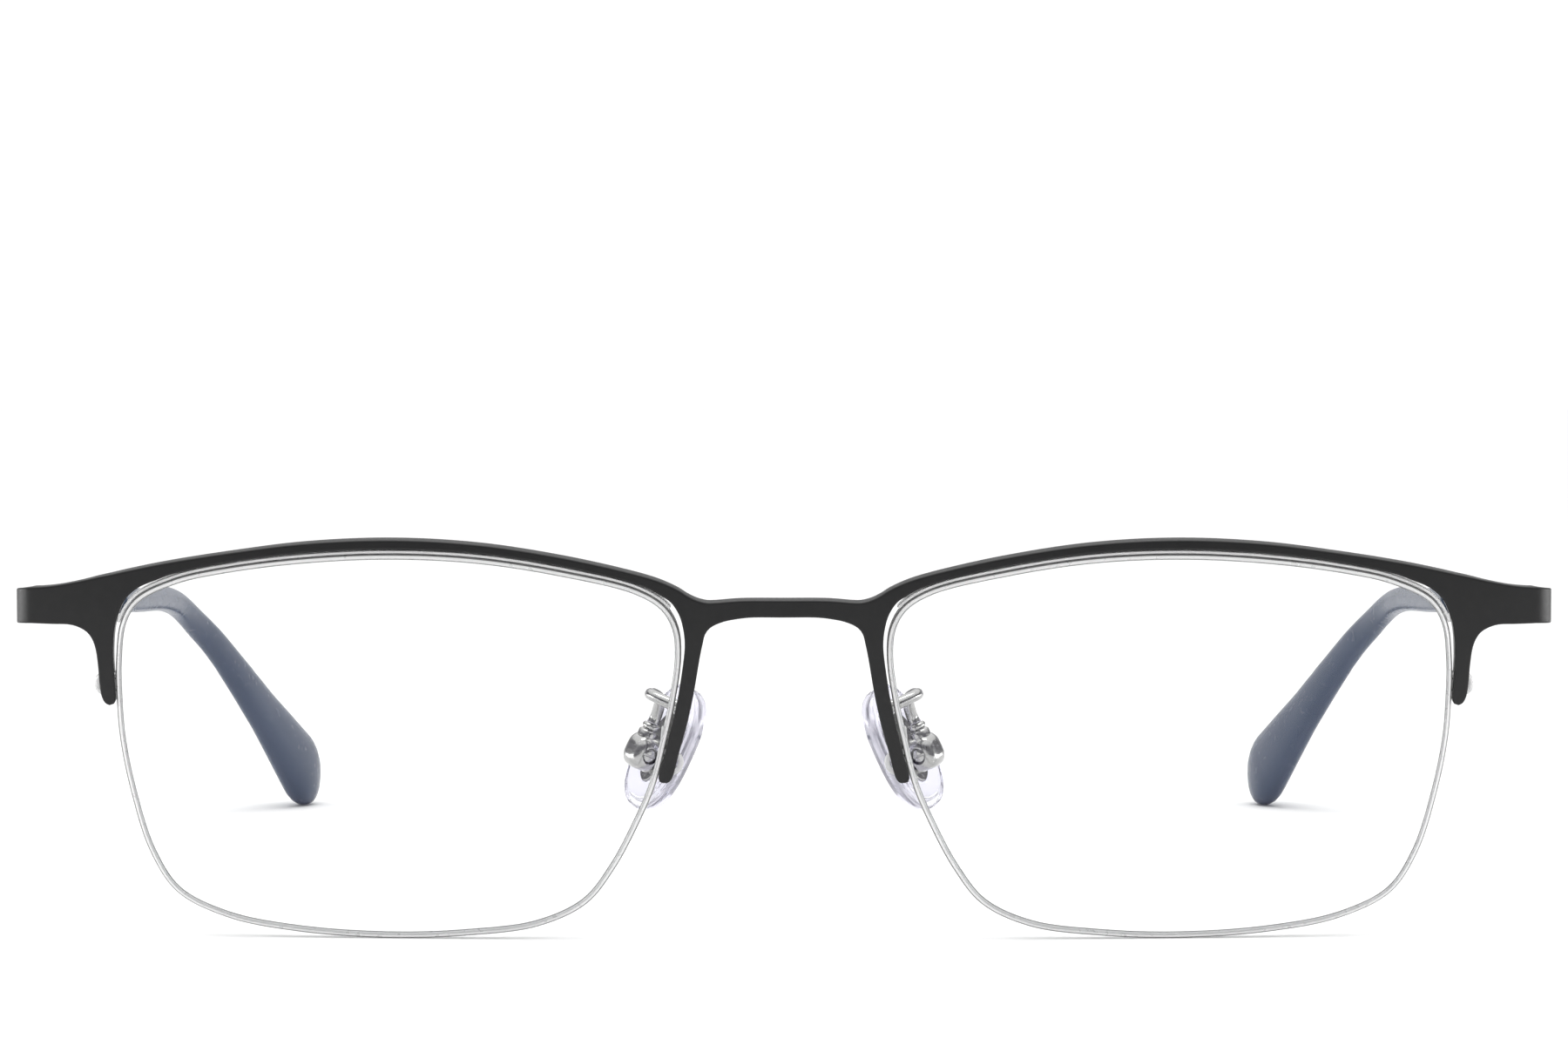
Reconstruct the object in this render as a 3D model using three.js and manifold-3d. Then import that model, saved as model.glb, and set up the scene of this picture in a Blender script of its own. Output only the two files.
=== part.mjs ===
// Half rim eyeglasses: a metal front, lenses held below by nylon cords, adjustable nose pads and
// folding temples.
// Millimetres. +X is the wearer's left, +Y runs back along the temples, +Z is up.
// The origin is on the ground, under the middle of the glasses, which stand on both lenses and both tips.
import * as THREE from "three";
import { mergeVertices } from "three/addons/utils/BufferGeometryUtils.js";
import Module from "manifold-3d";

const wasm = await Module();
wasm.setup();
const { degToRad } = THREE.MathUtils;

// ---- Driving dimensions ----

// Front
const LENS_MIDDLE = 35.2; // from the centre line to each lens's middle
const BASE_RADIUS = 132; // front surface of the lenses and of the whole front
const WRAP = degToRad(4); // each lens turned outward about the vertical
const TILT = degToRad(7); // the front leans, its top edge forward
const GROUND_HEIGHT = -17.8; // lowest point of a lens, below its middle
const FRONT_Y = -64.46; // where the lenses touch the ground
const RIM_DEPTH = 1.7; // brow, bridge and limbs, front to back
const PLATE = 1.3; // endpiece sheet, which wraps round to the temple
const BRIDGE_FLAT = 7; // the front is level between the nose limbs
const BRIDGE_BLEND = 11; // and curved like the lenses from here outward
const WRAP_START = 68.85; // where the endpiece bends backward
const WRAP_RADIUS = 2.4;
const LEG_LENGTH = 6.5; // straight part of the endpiece, behind the bend

// Lens
const LENS_THICKNESS = 1.9;
const LINER_GAP = 0.05; // clearance on each side of the rim liner
const CORD_RADIUS = 0.25;
const CORD_INSET = 0.2; // cord centre, inside the lens's outline

// Hinge and temple
const HINGE_RADIUS = 1.1; // knuckles
const HINGE_BORE = 0.66;
const HINGE_PIN = 0.6;
const HINGE_HEIGHT = 3;
const AXIS_INSIDE = 1.35; // hinge axis, inside the endpiece's inner face
const BUTT_GAP = 0.2; // between the endpiece's end and the temple
const TEMPLE_DROP = degToRad(2.75); // temples slope down towards the ears
const TOE_IN = degToRad(2); // and towards each other
const ARM_THICKNESS = 1.2;

// Nose pads
const PAD_SPLAY = degToRad(37); // rear edges further apart than front edges
const PAD_FLARE = degToRad(25); // lower ends further apart than upper ends
const PAD_MIDDLE = new THREE.Vector3(10.95, FRONT_Y + 6, 16.9);
const PAD_LENGTH = 12;
const PAD_WIDTH = 7.8;
const PAD_THICKNESS = 2;
const PAD_SQUARENESS = 0.78; // 1 makes the outline an ellipse, less squares it off
const WIRE_RADIUS = 0.54;

// ---- Materials ----

const blackPaint = new THREE.MeshStandardMaterial({ color: 0x1c1c1d, roughness: 0.42, metalness: 0.4 });
const lensPlastic = new THREE.MeshStandardMaterial({
  color: 0xf4f8fa, roughness: 0.05, metalness: 0, transparent: true, opacity: 0.25,
});
const clearPlastic = new THREE.MeshStandardMaterial({
  color: 0xeef0f2, roughness: 0.2, metalness: 0, transparent: true, opacity: 0.6,
});
const silicone = new THREE.MeshStandardMaterial({
  color: 0xeeeef6, roughness: 0.25, metalness: 0, transparent: true, opacity: 0.5,
});
const steel = new THREE.MeshStandardMaterial({ color: 0xc4c4c2, roughness: 0.25, metalness: 1 });
const navyAcetate = new THREE.MeshStandardMaterial({ color: 0x36435c, roughness: 0.3, metalness: 0 });

// ---- Solids: joining and cutting ----

function toSolid(geometry) {
  const bare = geometry.clone();
  bare.deleteAttribute("normal");
  bare.deleteAttribute("uv");
  const merged = mergeVertices(bare, 1e-4);
  return new wasm.Manifold(
    new wasm.Mesh({
      numProp: 3,
      vertProperties: merged.attributes.position.array,
      triVerts: new Uint32Array(merged.index.array),
    }),
  );
}

function toGeometry(solid) {
  const { vertProperties, triVerts } = solid.getMesh();
  const geometry = new THREE.BufferGeometry();
  geometry.setAttribute("position", new THREE.BufferAttribute(vertProperties, 3));
  geometry.setIndex(new THREE.BufferAttribute(triVerts, 1));
  return geometry;
}

function join(...geometries) {
  const solids = geometries.map((geometry) => toSolid(geometry));
  return toGeometry(solids.reduce((all, next) => all.add(next)));
}

function cut(geometry, ...tools) {
  return toGeometry(tools.reduce((left, tool) => left.subtract(toSolid(tool)), toSolid(geometry)));
}

// ---- Solids: bending ----

// A cosine or sine pushed outward: a power of 1 keeps a round outline, less squares it off.
function squared(value, power) {
  return Math.sign(value) * Math.abs(value) ** power;
}

// Moves every vertex of a closed geometry; place(x, y, z) returns the new Vector3.
function reshape(geometry, place) {
  const at = geometry.attributes.position;
  for (let i = 0; i < at.count; i++) {
    const moved = place(at.getX(i), at.getY(i), at.getZ(i));
    at.setXYZ(i, moved.x, moved.y, moved.z);
  }
  return geometry;
}

function spline(points) {
  const vectors = points.map(([x, y, z = 0]) => new THREE.Vector3(x, y, z));
  return new THREE.CatmullRomCurve3(vectors, false, "centripetal");
}

// A solid with changing sections along a curve. section(t, angle) gives its [side, up] offsets,
// side is the direction closest to the reference vector at every station, and station(u) places
// the evenly counted stations along the curve.
function sweep(curve, steps, sides, section, reference, station = (u) => u) {
  const round = new THREE.CylinderGeometry(1, 1, 1, sides, steps);
  return reshape(round, (x, y, z) => {
    const t = station(THREE.MathUtils.clamp(0.5 + y, 0, 1));
    const tangent = curve.getTangent(t);
    const side = reference.clone().addScaledVector(tangent, -reference.dot(tangent)).normalize();
    const up = side.clone().cross(tangent);
    const reach = Math.min(1, Math.hypot(x, z));
    const [a, b] = section(t, Math.atan2(z, x));
    return curve.getPoint(t).addScaledVector(side, a * reach).addScaledVector(up, b * reach);
  });
}

// A round wire of one thickness.
function wire(curve, radius, steps, sides) {
  const ring = new THREE.Shape();
  for (let k = 0; k < sides; k++) {
    const angle = (k / sides) * 2 * Math.PI;
    const to = k === 0 ? "moveTo" : "lineTo";
    ring[to](radius * Math.cos(angle), radius * Math.sin(angle));
  }
  return new THREE.ExtrudeGeometry(ring, { steps, extrudePath: curve });
}

// ---- The front's surface ----
// Its own frame: x across from the centre line, y up from the lens middle, and depth as negative z.

const SPHERE_X = LENS_MIDDLE - BASE_RADIUS * Math.sin(WRAP);
const SPHERE_DEPTH = BASE_RADIUS * Math.cos(WRAP);

// Depth of the front surface, and how steeply it falls back in the across direction.
function surface(across, height) {
  const x = Math.max(across, BRIDGE_BLEND);
  const reach = Math.sqrt(BASE_RADIUS ** 2 - (x - SPHERE_X) ** 2 - height ** 2);
  let depth = SPHERE_DEPTH - reach;
  let slope = (x - SPHERE_X) / reach;
  if (across < BRIDGE_BLEND) {
    const blend = BRIDGE_BLEND - BRIDGE_FLAT;
    const left = Math.max(across - BRIDGE_FLAT, 0);
    depth -= (slope * (blend ** 2 - left ** 2)) / (2 * blend);
    slope *= left / blend;
  }
  return { depth, slope };
}

// The point a given way behind the front surface. The edges run straight back, but the endpiece's
// are square to its sheet. Past WRAP_START the sheet turns back round a bend and runs straight on,
// sloping down with the temple.
function onFront(across, height, behind) {
  const x = Math.min(Math.abs(across), WRAP_START);
  const past = Math.abs(across) - x;
  const { depth, slope } = surface(x, height);
  const start = Math.atan(slope);
  const turned = Math.min(past / WRAP_RADIUS, Math.PI / 2 + TOE_IN - start);
  const straight = past - turned * WRAP_RADIUS;
  const heading = start + turned;
  const out = WRAP_RADIUS * (Math.sin(heading) - Math.sin(start)) + straight * Math.cos(heading);
  const back = WRAP_RADIUS * (Math.cos(start) - Math.cos(heading)) + straight * Math.sin(heading);
  const lean = past > 0 ? heading : start * THREE.MathUtils.smoothstep(x, 61.5, 67);
  return new THREE.Vector3(
    (x + out - Math.sin(lean) * behind) * (Math.sign(across) || 1),
    height - back * Math.tan(TILT + TEMPLE_DROP),
    -depth - back - Math.cos(lean) * behind,
  );
}

// Where the straight part of the endpiece starts and ends, measured along the sheet.
const WRAP_TURN = Math.PI / 2 + TOE_IN - Math.atan(surface(WRAP_START, 12).slope);
const LEG_START = WRAP_START + WRAP_TURN * WRAP_RADIUS;
const LEG_END = LEG_START + LEG_LENGTH;

// ---- Front frame ----

// Upper and lower edges at matching stations, from the centre line to the end of the endpiece.
const BROW_TOP = [
  [0, 13.48], [4, 13.46], [6.3, 13.29], [7, 13.29], [7.9, 13.52], [8.8, 13.96], [9.5, 14.42],
  [11.2, 15.22], [13.4, 15.93], [19.7, 17.42], [27.5, 18.64], [35.4, 19.02], [43.3, 18.57], [50.5, 17.5],
  [56, 16.46], [59.5, 15.64], [61.2, 15.2], [62.6, 14.86], [64, 14.49], [66.9, 13.86], [WRAP_START, 13.62],
];
const BROW_UNDER = [
  [0, 11.92], [4, 11.8], [6.1, 11.22], [6.8, 10.85], [7.4, 10.3], [8.9, 10.4], [9.25, 11.4],
  [10.15, 13.2], [12.6, 14.72], [19.9, 16.65], [27.6, 17.84], [35.4, 18.15], [43.2, 17.72], [50.3, 16.68],
  [55.4, 15.47], [58.8, 14], [60.4, 12.2], [61.2, 10.2], [63.7, 10.1], [66.9, 10.36], [WRAP_START, 10.32],
];
const LEG_TOP_HEIGHT = 13.55; // at the temple, before the slope is applied
const LEG_UNDER_HEIGHT = 10.35;

// From the brow down: the limbs beside the nose, and the lugs below the endpieces.
const NOSE_LIMB = {
  inner: [[6.8, 11], [7.12, 10.4], [7.35, 9.5], [7.6, 8.3], [8.2, 4.8], [8.84, 1.92], [9.55, -0.63],
    [10.2, -2.65], [10.75, -3.2]],
  outer: [[9.35, 12], [9.15, 11.2], [9.02, 10], [9.08, 8.3], [9.62, 4.5], [10.2, 1.9], [10.85, -0.7],
    [11.38, -2.75], [11.15, -3.2]],
};
const OUTER_LUG = {
  inner: [[60.5, 12], [61, 10], [61.12, 8.6], [61.13, 7.3], [61.02, 5.2], [60.97, 3.8], [61.3, 3.24]],
  outer: [[64.6, 10.6], [63.65, 9.85], [62.95, 8.7], [62.6, 7.1], [62.45, 5.2], [62.2, 3.75], [61.75, 3.22]],
};

// Holes that a lens cord is threaded through: their middle and how they turn from level.
const CORD_HOLES = [
  { at: [10.15, -0.62], turn: degToRad(13) },
  { at: [10.6, -2.35], turn: degToRad(5) },
  { at: [61.75, 4.2], turn: 0 },
  { at: [61.8, 5.84], turn: 0 },
];
const CORD_HOLE_RADIUS = 0.42;

// The sheet thins from the rims to the endpieces.
function frontDepth(across) {
  return THREE.MathUtils.lerp(RIM_DEPTH, PLATE, THREE.MathUtils.smoothstep(Math.abs(across), 59, 65));
}

// A strip of the front between two edges drawn across and up.
function frontStrip(edgeA, edgeB, steps) {
  const first = spline(edgeA);
  const second = spline(edgeB);
  return reshape(new THREE.BoxGeometry(1, 1, 1, steps, 1, 1), (x, y, z) => {
    const t = x + 0.5;
    const edge = first.getPoint(t).lerp(second.getPoint(t), 0.5 - y);
    return onFront(edge.x, edge.y, (0.5 - z) * frontDepth(edge.x));
  });
}

function mirrored(points) {
  return points.map(([x, y]) => [-x, y]);
}

function cordHoles() {
  return [-1, 1].flatMap((side) => CORD_HOLES.map(({ at: [across, height], turn }) => {
    const hole = new THREE.CylinderGeometry(CORD_HOLE_RADIUS, CORD_HOLE_RADIUS, 3, 8);
    const middle = onFront(side * across, height, LENS_THICKNESS / 2);
    const slope = Math.atan(surface(across, height).slope) * side;
    hole.rotateZ(Math.PI / 2 + side * turn).rotateY(slope);
    return hole.translate(middle.x, middle.y, middle.z);
  }));
}

function frontFrame() {
  const bevel = ((LEG_TOP_HEIGHT - LEG_UNDER_HEIGHT) / 2) * Math.tan(TILT + TEMPLE_DROP);
  const top = [...BROW_TOP, [LEG_START, LEG_TOP_HEIGHT], [LEG_END + bevel, LEG_TOP_HEIGHT]];
  const under = [...BROW_UNDER, [LEG_START, LEG_UNDER_HEIGHT], [LEG_END - bevel, LEG_UNDER_HEIGHT]];
  const whole = (points) => [...mirrored(points).slice(1).reverse(), ...points];
  const parts = [frontStrip(whole(top), whole(under), 138)];
  for (const { inner, outer } of [NOSE_LIMB, OUTER_LUG]) {
    parts.push(frontStrip(outer, inner, 16), frontStrip(mirrored(inner), mirrored(outer), 16));
  }
  return cut(join(...parts), ...cordHoles());
}

// ---- Lens, liner and cord ----

// Outline of a lens, anticlockwise from its outer side, seen from the front on the +X side.
const LENS_OUTLINE = [
  [60.85, 4], [60.85, 7.5], [60.38, 10.9], [59, 13.1], [55.3, 15.02], [50.2, 16.27], [43, 17.3],
  [35.4, 17.74], [27.7, 17.43], [20, 16.24], [13.2, 14.5], [10.68, 12.9], [9.55, 10.9], [9.3, 8.3],
  [9.8, 4.5], [10.62, 0.7], [11.6, -3.2], [13, -6.6], [15.4, -11.2], [18, -14.5], [22.4, -16.6],
  [29, -17.5], [36, GROUND_HEIGHT], [44.5, -17.4], [51, -16.3], [55.6, -14.1], [58, -10.4], [59.7, -4.7],
  [60.6, 0.2],
];
const outline = new THREE.CatmullRomCurve3(
  LENS_OUTLINE.map(([x, y]) => new THREE.Vector3(x, y, 0)),
  true,
);
const LENS_SIDES = 54;

// Half profile of the lens's edge: how far out, as a part of the way to the outline, and how far behind.
const LENS_PROFILE = [
  [0, 0], [0.45, 0], [0.8, 0], [0.988, 0], [1, 0.25], [1, 0.58], [0.965, 0.66], [0.965, 1.24], [1, 1.32],
  [1, 1.65], [0.988, LENS_THICKNESS], [0.8, LENS_THICKNESS], [0.45, LENS_THICKNESS], [0, LENS_THICKNESS],
];

function lens() {
  const profile = LENS_PROFILE.map(([out, behind]) => new THREE.Vector2(out, behind));
  const middle = new THREE.Vector3(LENS_MIDDLE, 0, 0);
  const blank = new THREE.LatheGeometry(profile, LENS_SIDES);
  return reshape(blank, (x, behind, z) => {
    const turn = (Math.atan2(z, x) / (2 * Math.PI) + 1) % 1;
    const edge = outline.getPoint(turn);
    const point = middle.clone().lerp(edge, Math.hypot(x, z));
    return onFront(point.x, point.y, behind);
  });
}

// A stretch of the outline between two of its points, counted from 0, moved inward by an inset.
function outlineStretch(from, to, inset, count) {
  const points = [];
  for (let k = 0; k <= count; k++) {
    const turn = (from + ((to - from) * k) / count) / LENS_OUTLINE.length;
    const at = outline.getPoint(turn);
    const along = outline.getTangent(turn);
    points.push([at.x - along.y * inset, at.y + along.x * inset]);
  }
  return points;
}

const LINER_FROM = 1.95; // outline points: beside the lug's root,
const LINER_TO = 11.15; // and beside the top of the nose limb
const LINER_THICKNESS = 0.3;
const LINER_DEPTH = 1.5;

function rimLiner() {
  const steps = 38;
  const inner = spline(outlineStretch(LINER_FROM, LINER_TO, -LINER_GAP, steps));
  const outer = spline(outlineStretch(LINER_FROM, LINER_TO, -LINER_GAP - LINER_THICKNESS, steps));
  const margin = (RIM_DEPTH - LINER_DEPTH) / 2;
  return reshape(new THREE.BoxGeometry(1, 1, 1, steps, 1, 1), (x, y, z) => {
    const edge = inner.getPoint(0.5 - x).lerp(outer.getPoint(0.5 - x), y + 0.5);
    return onFront(edge.x, edge.y, margin + (0.5 - z) * LINER_DEPTH);
  });
}

// The cord's ends are threaded out and back through the holes in the nose limb and the lug, and its
// tails lie in the groove. Between them it runs round the lower edge of the lens.
const CORD_AT_LIMB = [
  [10.85, 2], [11, 0.6], [11.08, -0.1], [10.8, -0.47], [10.15, -0.62], [9.55, -0.85], [9.36, -1.25],
  [9.45, -1.85], [9.85, -2.3], [10.6, -2.35], [11.45, -2.34], [11.85, -2.75],
];
const CORD_AT_LUG = [
  [60.55, 3], [60.75, 3.85], [61.1, 4.17], [62.3, 4.2], [62.7, 4.5], [62.79, 5], [62.7, 5.5], [62.3, 5.82],
  [61.1, 5.87], [60.75, 6.2], [60.58, 6.9], [60.55, 8],
];
const CORD_FROM = 16.35; // outline points where it joins and leaves the lens's edge
const CORD_TO = 28.5;

function lensCord() {
  const route = [...CORD_AT_LIMB, ...outlineStretch(CORD_FROM, CORD_TO, CORD_INSET, 26), ...CORD_AT_LUG];
  const curve = new THREE.CatmullRomCurve3(
    route.map(([x, y]) => onFront(x, y, LENS_THICKNESS / 2)),
    false,
    "centripetal",
  );
  const forward = new THREE.Vector3(0, 0, 1);
  return sweep(curve, 80, 6, (t, angle) => [
    CORD_RADIUS * Math.cos(angle),
    CORD_RADIUS * Math.sin(angle),
  ], forward);
}

// ---- Nose pads ----
// The pad's own frame: x towards the nose, y up along its length, z back across its width.

const padUp = new THREE.Vector3(-Math.sin(PAD_FLARE), 0, Math.cos(PAD_FLARE));
const padBack = new THREE.Vector3(Math.sin(PAD_SPLAY), Math.cos(PAD_SPLAY), 0);
padBack.addScaledVector(padUp, -padBack.dot(padUp)).normalize();
const padInward = padUp.clone().cross(padBack);
const PAD_FRAME = new THREE.Matrix4().makeBasis(padInward, padUp, padBack).setPosition(PAD_MIDDLE);

function oval(length, width, points, power = 1) {
  const outline = [];
  for (let k = 0; k < points; k++) {
    const angle = (k / points) * 2 * Math.PI;
    const across = squared(Math.cos(angle), power) * (width / 2);
    outline.push(new THREE.Vector2(across, squared(Math.sin(angle), power) * (length / 2)));
  }
  return new THREE.Shape(outline);
}

// A slab with its thickness along x, from one face to the other.
function slab(shape, from, to, bevel = 0) {
  const geometry = new THREE.ExtrudeGeometry(shape, {
    depth: to - from - 2 * bevel,
    bevelEnabled: bevel > 0,
    bevelThickness: bevel,
    bevelSize: bevel,
    bevelOffset: -bevel,
    bevelSegments: 2,
    curveSegments: 3,
  });
  return geometry.translate(0, 0, from + bevel).rotateY(Math.PI / 2);
}

function roundedBox(height, width, corner) {
  const [h, w] = [height / 2 - corner, width / 2 - corner];
  const shape = new THREE.Shape();
  shape.absarc(w, h, corner, 0, Math.PI / 2);
  shape.absarc(-w, h, corner, Math.PI / 2, Math.PI);
  shape.absarc(-w, -h, corner, Math.PI, 1.5 * Math.PI);
  shape.absarc(w, -h, corner, 1.5 * Math.PI, 2 * Math.PI);
  return shape;
}

const CORE_PLATE = { length: 7, width: 3.8, thickness: 0.5 };
const CORE_TANG = { height: 1.5, width: 1, reach: 1.9 };
const CORE_GAP = 0.1;
const PAD_ROUNDING = 0.8;
const BOX = { y: -1, gap: 0.3, depth: 2.4, height: 3.3, width: 3.1 }; // y: along the pad from its middle
const PAD_BACK = -PAD_THICKNESS / 2;
const BOX_FACE = PAD_BACK - BOX.gap;
const SCREW_X = BOX_FACE - 0.95; // the pad rocks on this screw
const SCREW_RADIUS = 0.36;
const SCREW_GAP = 0.06;
const SCREW_HEAD = 0.68;
const HEAD_SEAT = 0.78;
// The collar on top of the box that holds the wire: radius and height.
const COLLAR = [[0, 0], [0.95, 0], [0.95, 0.6], [0.7, 0.75], [0.85, 1], [0.85, 1.2], [0.6, 1.35], [0, 1.35]];
const COLLAR_X = SCREW_X - 0.3;
const COLLAR_Y = BOX.y + BOX.height / 2 - 0.25;

function nosePad() {
  const outline = oval(PAD_LENGTH, PAD_WIDTH, 32, PAD_SQUARENESS);
  const body = slab(outline, PAD_BACK, PAD_THICKNESS / 2, PAD_ROUNDING);
  const pocket = slab(
    oval(CORE_PLATE.length + 2 * CORE_GAP, CORE_PLATE.width + 2 * CORE_GAP, 16),
    PAD_BACK - CORE_GAP,
    PAD_BACK + CORE_PLATE.thickness + CORE_GAP,
  );
  return cut(body, pocket);
}

// The bore across the box and the core's tang, and the seat for the screw's head.
function screwBore(radius, length) {
  const bore = new THREE.CylinderGeometry(radius, radius, length, 12);
  return bore.rotateX(Math.PI / 2).translate(SCREW_X, BOX.y, 0);
}

function padCore() {
  const outline = oval(CORE_PLATE.length, CORE_PLATE.width, 16);
  const plate = slab(outline, PAD_BACK, PAD_BACK + CORE_PLATE.thickness);
  const section = roundedBox(CORE_TANG.height, CORE_TANG.width, 0.3);
  const tang = slab(section, PAD_BACK - CORE_TANG.reach, PAD_BACK + 0.2).translate(0, BOX.y, 0);
  return cut(join(plate, tang), screwBore(SCREW_RADIUS + SCREW_GAP, BOX.width));
}

function padBox() {
  const shell = slab(roundedBox(BOX.height, BOX.width, 1.3), BOX_FACE - BOX.depth, BOX_FACE, 0.5);
  const opening = roundedBox(CORE_TANG.height + 0.8, CORE_TANG.width + 0.4, 0.3);
  const hollow = slab(opening, BOX_FACE - 1.75, BOX_FACE + 1).translate(0, BOX.y, 0);
  const headSeat = screwBore(HEAD_SEAT, 1).translate(0, 0, -BOX.width / 2);
  const collar = new THREE.LatheGeometry(
    COLLAR.map(([radius, y]) => new THREE.Vector2(radius, y)),
    10,
  );
  collar.translate(COLLAR_X, COLLAR_Y, 0);
  shell.translate(0, BOX.y, 0);
  return cut(join(shell, collar), hollow, screwBore(SCREW_RADIUS + SCREW_GAP, 2 * BOX.width), headSeat);
}

function padScrew() {
  const shank = new THREE.CylinderGeometry(SCREW_RADIUS, SCREW_RADIUS, BOX.width - 0.2, 12);
  const head = new THREE.CylinderGeometry(SCREW_HEAD, SCREW_HEAD, 0.35, 12);
  head.translate(0, BOX.width / 2 - 0.25, 0);
  return join(shank, head).rotateX(-Math.PI / 2).translate(SCREW_X, BOX.y, 0);
}

// The wire starts on the back of the nose limb, loops outward and comes down into the collar.
// Points are across, behind FRONT_Y, and up.
const ARM_ROUTE = [
  [9.05, -0.72, 20.95], [10.05, -0.35, 21.4], [11.25, 0.15, 21.92], [12.05, 0.8, 22.25], [12.25, 1.7, 22.3],
  [11.9, 2.6, 22.2], [11.45, 3.15, 21.75],
];

function padArm() {
  const route = ARM_ROUTE.map(([x, behind, z]) => new THREE.Vector3(x, FRONT_Y + behind, z));
  for (const above of [2, 1.4]) {
    route.push(new THREE.Vector3(COLLAR_X, COLLAR_Y + above, 0).applyMatrix4(PAD_FRAME));
  }
  return wire(new THREE.CatmullRomCurve3(route, false, "centripetal"), WIRE_RADIUS, 20, 8);
}

// ---- Hinge ----
// The hinge's own frame: x outward, y back along the temple, z up along the screw.

const KNUCKLE = HINGE_HEIGHT / 3 - 0.06;
const LEAF_THICKNESS = 0.55;
const LEAF_GAP = 0.05;
const LEAF_NEAR = HINGE_RADIUS + 0.25; // from the axis to a leaf's ends
const LEAF_FAR = 4.4;
const WEB_LENGTH = 1.9;
// The screw's slotted head lies flush in a counterbore in the top knuckle.
const HEAD_RADIUS = 0.84;
const HEAD_HEIGHT = 0.4;
const HEAD_GAP = 0.06;

function knuckle(from, to) {
  const barrel = new THREE.CylinderGeometry(HINGE_RADIUS, HINGE_RADIUS, to - from, 18);
  return barrel.rotateX(Math.PI / 2).translate(0, 0, (from + to) / 2);
}

// The block that ties a knuckle to its leaf, which lies against the inner face of the metal.
function leafBlock(from, to, direction) {
  const face = AXIS_INSIDE - LEAF_GAP;
  const web = new THREE.BoxGeometry(face, WEB_LENGTH, to - from);
  return web.translate(face / 2, (direction * WEB_LENGTH) / 2, (from + to) / 2);
}

function leafPlate(near, far) {
  const plate = new THREE.BoxGeometry(LEAF_THICKNESS, Math.abs(far - near), HINGE_HEIGHT);
  return plate.translate(AXIS_INSIDE - LEAF_GAP - LEAF_THICKNESS / 2, (near + far) / 2, 0);
}

function hingeBore() {
  return new THREE.CylinderGeometry(HINGE_BORE, HINGE_BORE, 2 * HINGE_HEIGHT, 16).rotateX(Math.PI / 2);
}

function hingeFrontLeaf() {
  const top = HINGE_HEIGHT / 2;
  const solids = [leafPlate(-LEAF_NEAR, -LEAF_FAR)];
  for (const [from, to] of [[top - KNUCKLE, top], [-top, -top + KNUCKLE]]) {
    solids.push(knuckle(from, to), leafBlock(from, to, -1));
  }
  const seatRadius = HEAD_RADIUS + HEAD_GAP;
  const seat = new THREE.CylinderGeometry(seatRadius, seatRadius, 1, 16).rotateX(Math.PI / 2);
  return cut(join(...solids), hingeBore(), seat.translate(0, 0, top + 0.5 - HEAD_HEIGHT - HEAD_GAP));
}

function hingeTempleLeaf() {
  const half = KNUCKLE / 2;
  const solid = join(leafPlate(LEAF_NEAR, LEAF_FAR), knuckle(-half, half), leafBlock(-half, half, 1));
  return cut(solid, hingeBore());
}

function hingeScrew() {
  const shank = new THREE.CylinderGeometry(HINGE_PIN, HINGE_PIN, HINGE_HEIGHT - 0.1, 16);
  const head = new THREE.CylinderGeometry(HEAD_RADIUS, HEAD_RADIUS, HEAD_HEIGHT, 16);
  const slot = new THREE.BoxGeometry(2, 0.3, 0.25);
  head.translate(0, (HINGE_HEIGHT - HEAD_HEIGHT) / 2, 0);
  slot.translate(0, HINGE_HEIGHT / 2, 0);
  return cut(join(shank, head), slot).rotateX(Math.PI / 2);
}

// ---- Temple ----

// Middle line of the temple, in the hinge's frame.
const ARM_X = AXIS_INSIDE + ARM_THICKNESS / 2;
const TEMPLE_LINE = [
  [ARM_X, BUTT_GAP, 0], [ARM_X, 30, 0], [ARM_X, 60, 0], [ARM_X, 80, -0.1], [1.65, 87.5, -0.9],
  [0.75, 93, -2.7], [-0.8, 98.2, -5.3], [-2.6, 103.8, -8.9], [-4.9, 111, -13.8], [-7, 118, -18.5], [-8.5, 123.8, -22.12],
];
const CORE_END = [-6.4, 116.2, -17.1];
const SLEEVE_START = 46;
const OUTWARD = new THREE.Vector3(1, 0, 0);

// Height and thickness of the sleeve along its length, t from 0 to 1.
const SLEEVE_HEIGHT = [[0, 2.5], [0.3, 2.6], [0.5, 2.8], [0.65, 3.7], [0.8, 5.6], [0.9, 7.6], [1, 9.6]];
const SLEEVE_THICKNESS = [[0, 2], [0.3, 2.1], [0.6, 2.3], [0.8, 3], [0.9, 3.8], [1, 4.4]];
const SLEEVE_SQUARENESS = 0.85;
const END_ROUNDING = 0.066; // last part of the sleeve, rounded off
const END_TURN = degToRad(82); // how far round that end the last station is
const PLAIN_STATIONS = 0.78; // share of the stations that comes before the rounded end

// A smoothly varying number, read at a position from [position, value] pairs.
function valueAt(table, position) {
  const positions = table.map(([at]) => at);
  const values = table.map(([, value]) => value);
  return new THREE.CubicInterpolant(positions, values, 1).evaluate(position)[0];
}

function sleeveLine() {
  const start = TEMPLE_LINE.findIndex(([, y]) => y > SLEEVE_START);
  const line = spline([[ARM_X, SLEEVE_START, 0], ...TEMPLE_LINE.slice(start)]);
  return spline(line.getSpacedPoints(24));
}

// Stations along the sleeve, closer together round its end.
function sleeveStation(u) {
  if (u < PLAIN_STATIONS) return (u / PLAIN_STATIONS) * (1 - END_ROUNDING);
  const turn = ((u - PLAIN_STATIONS) / (1 - PLAIN_STATIONS)) * END_TURN;
  return 1 - END_ROUNDING * (1 - Math.sin(turn));
}

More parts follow.
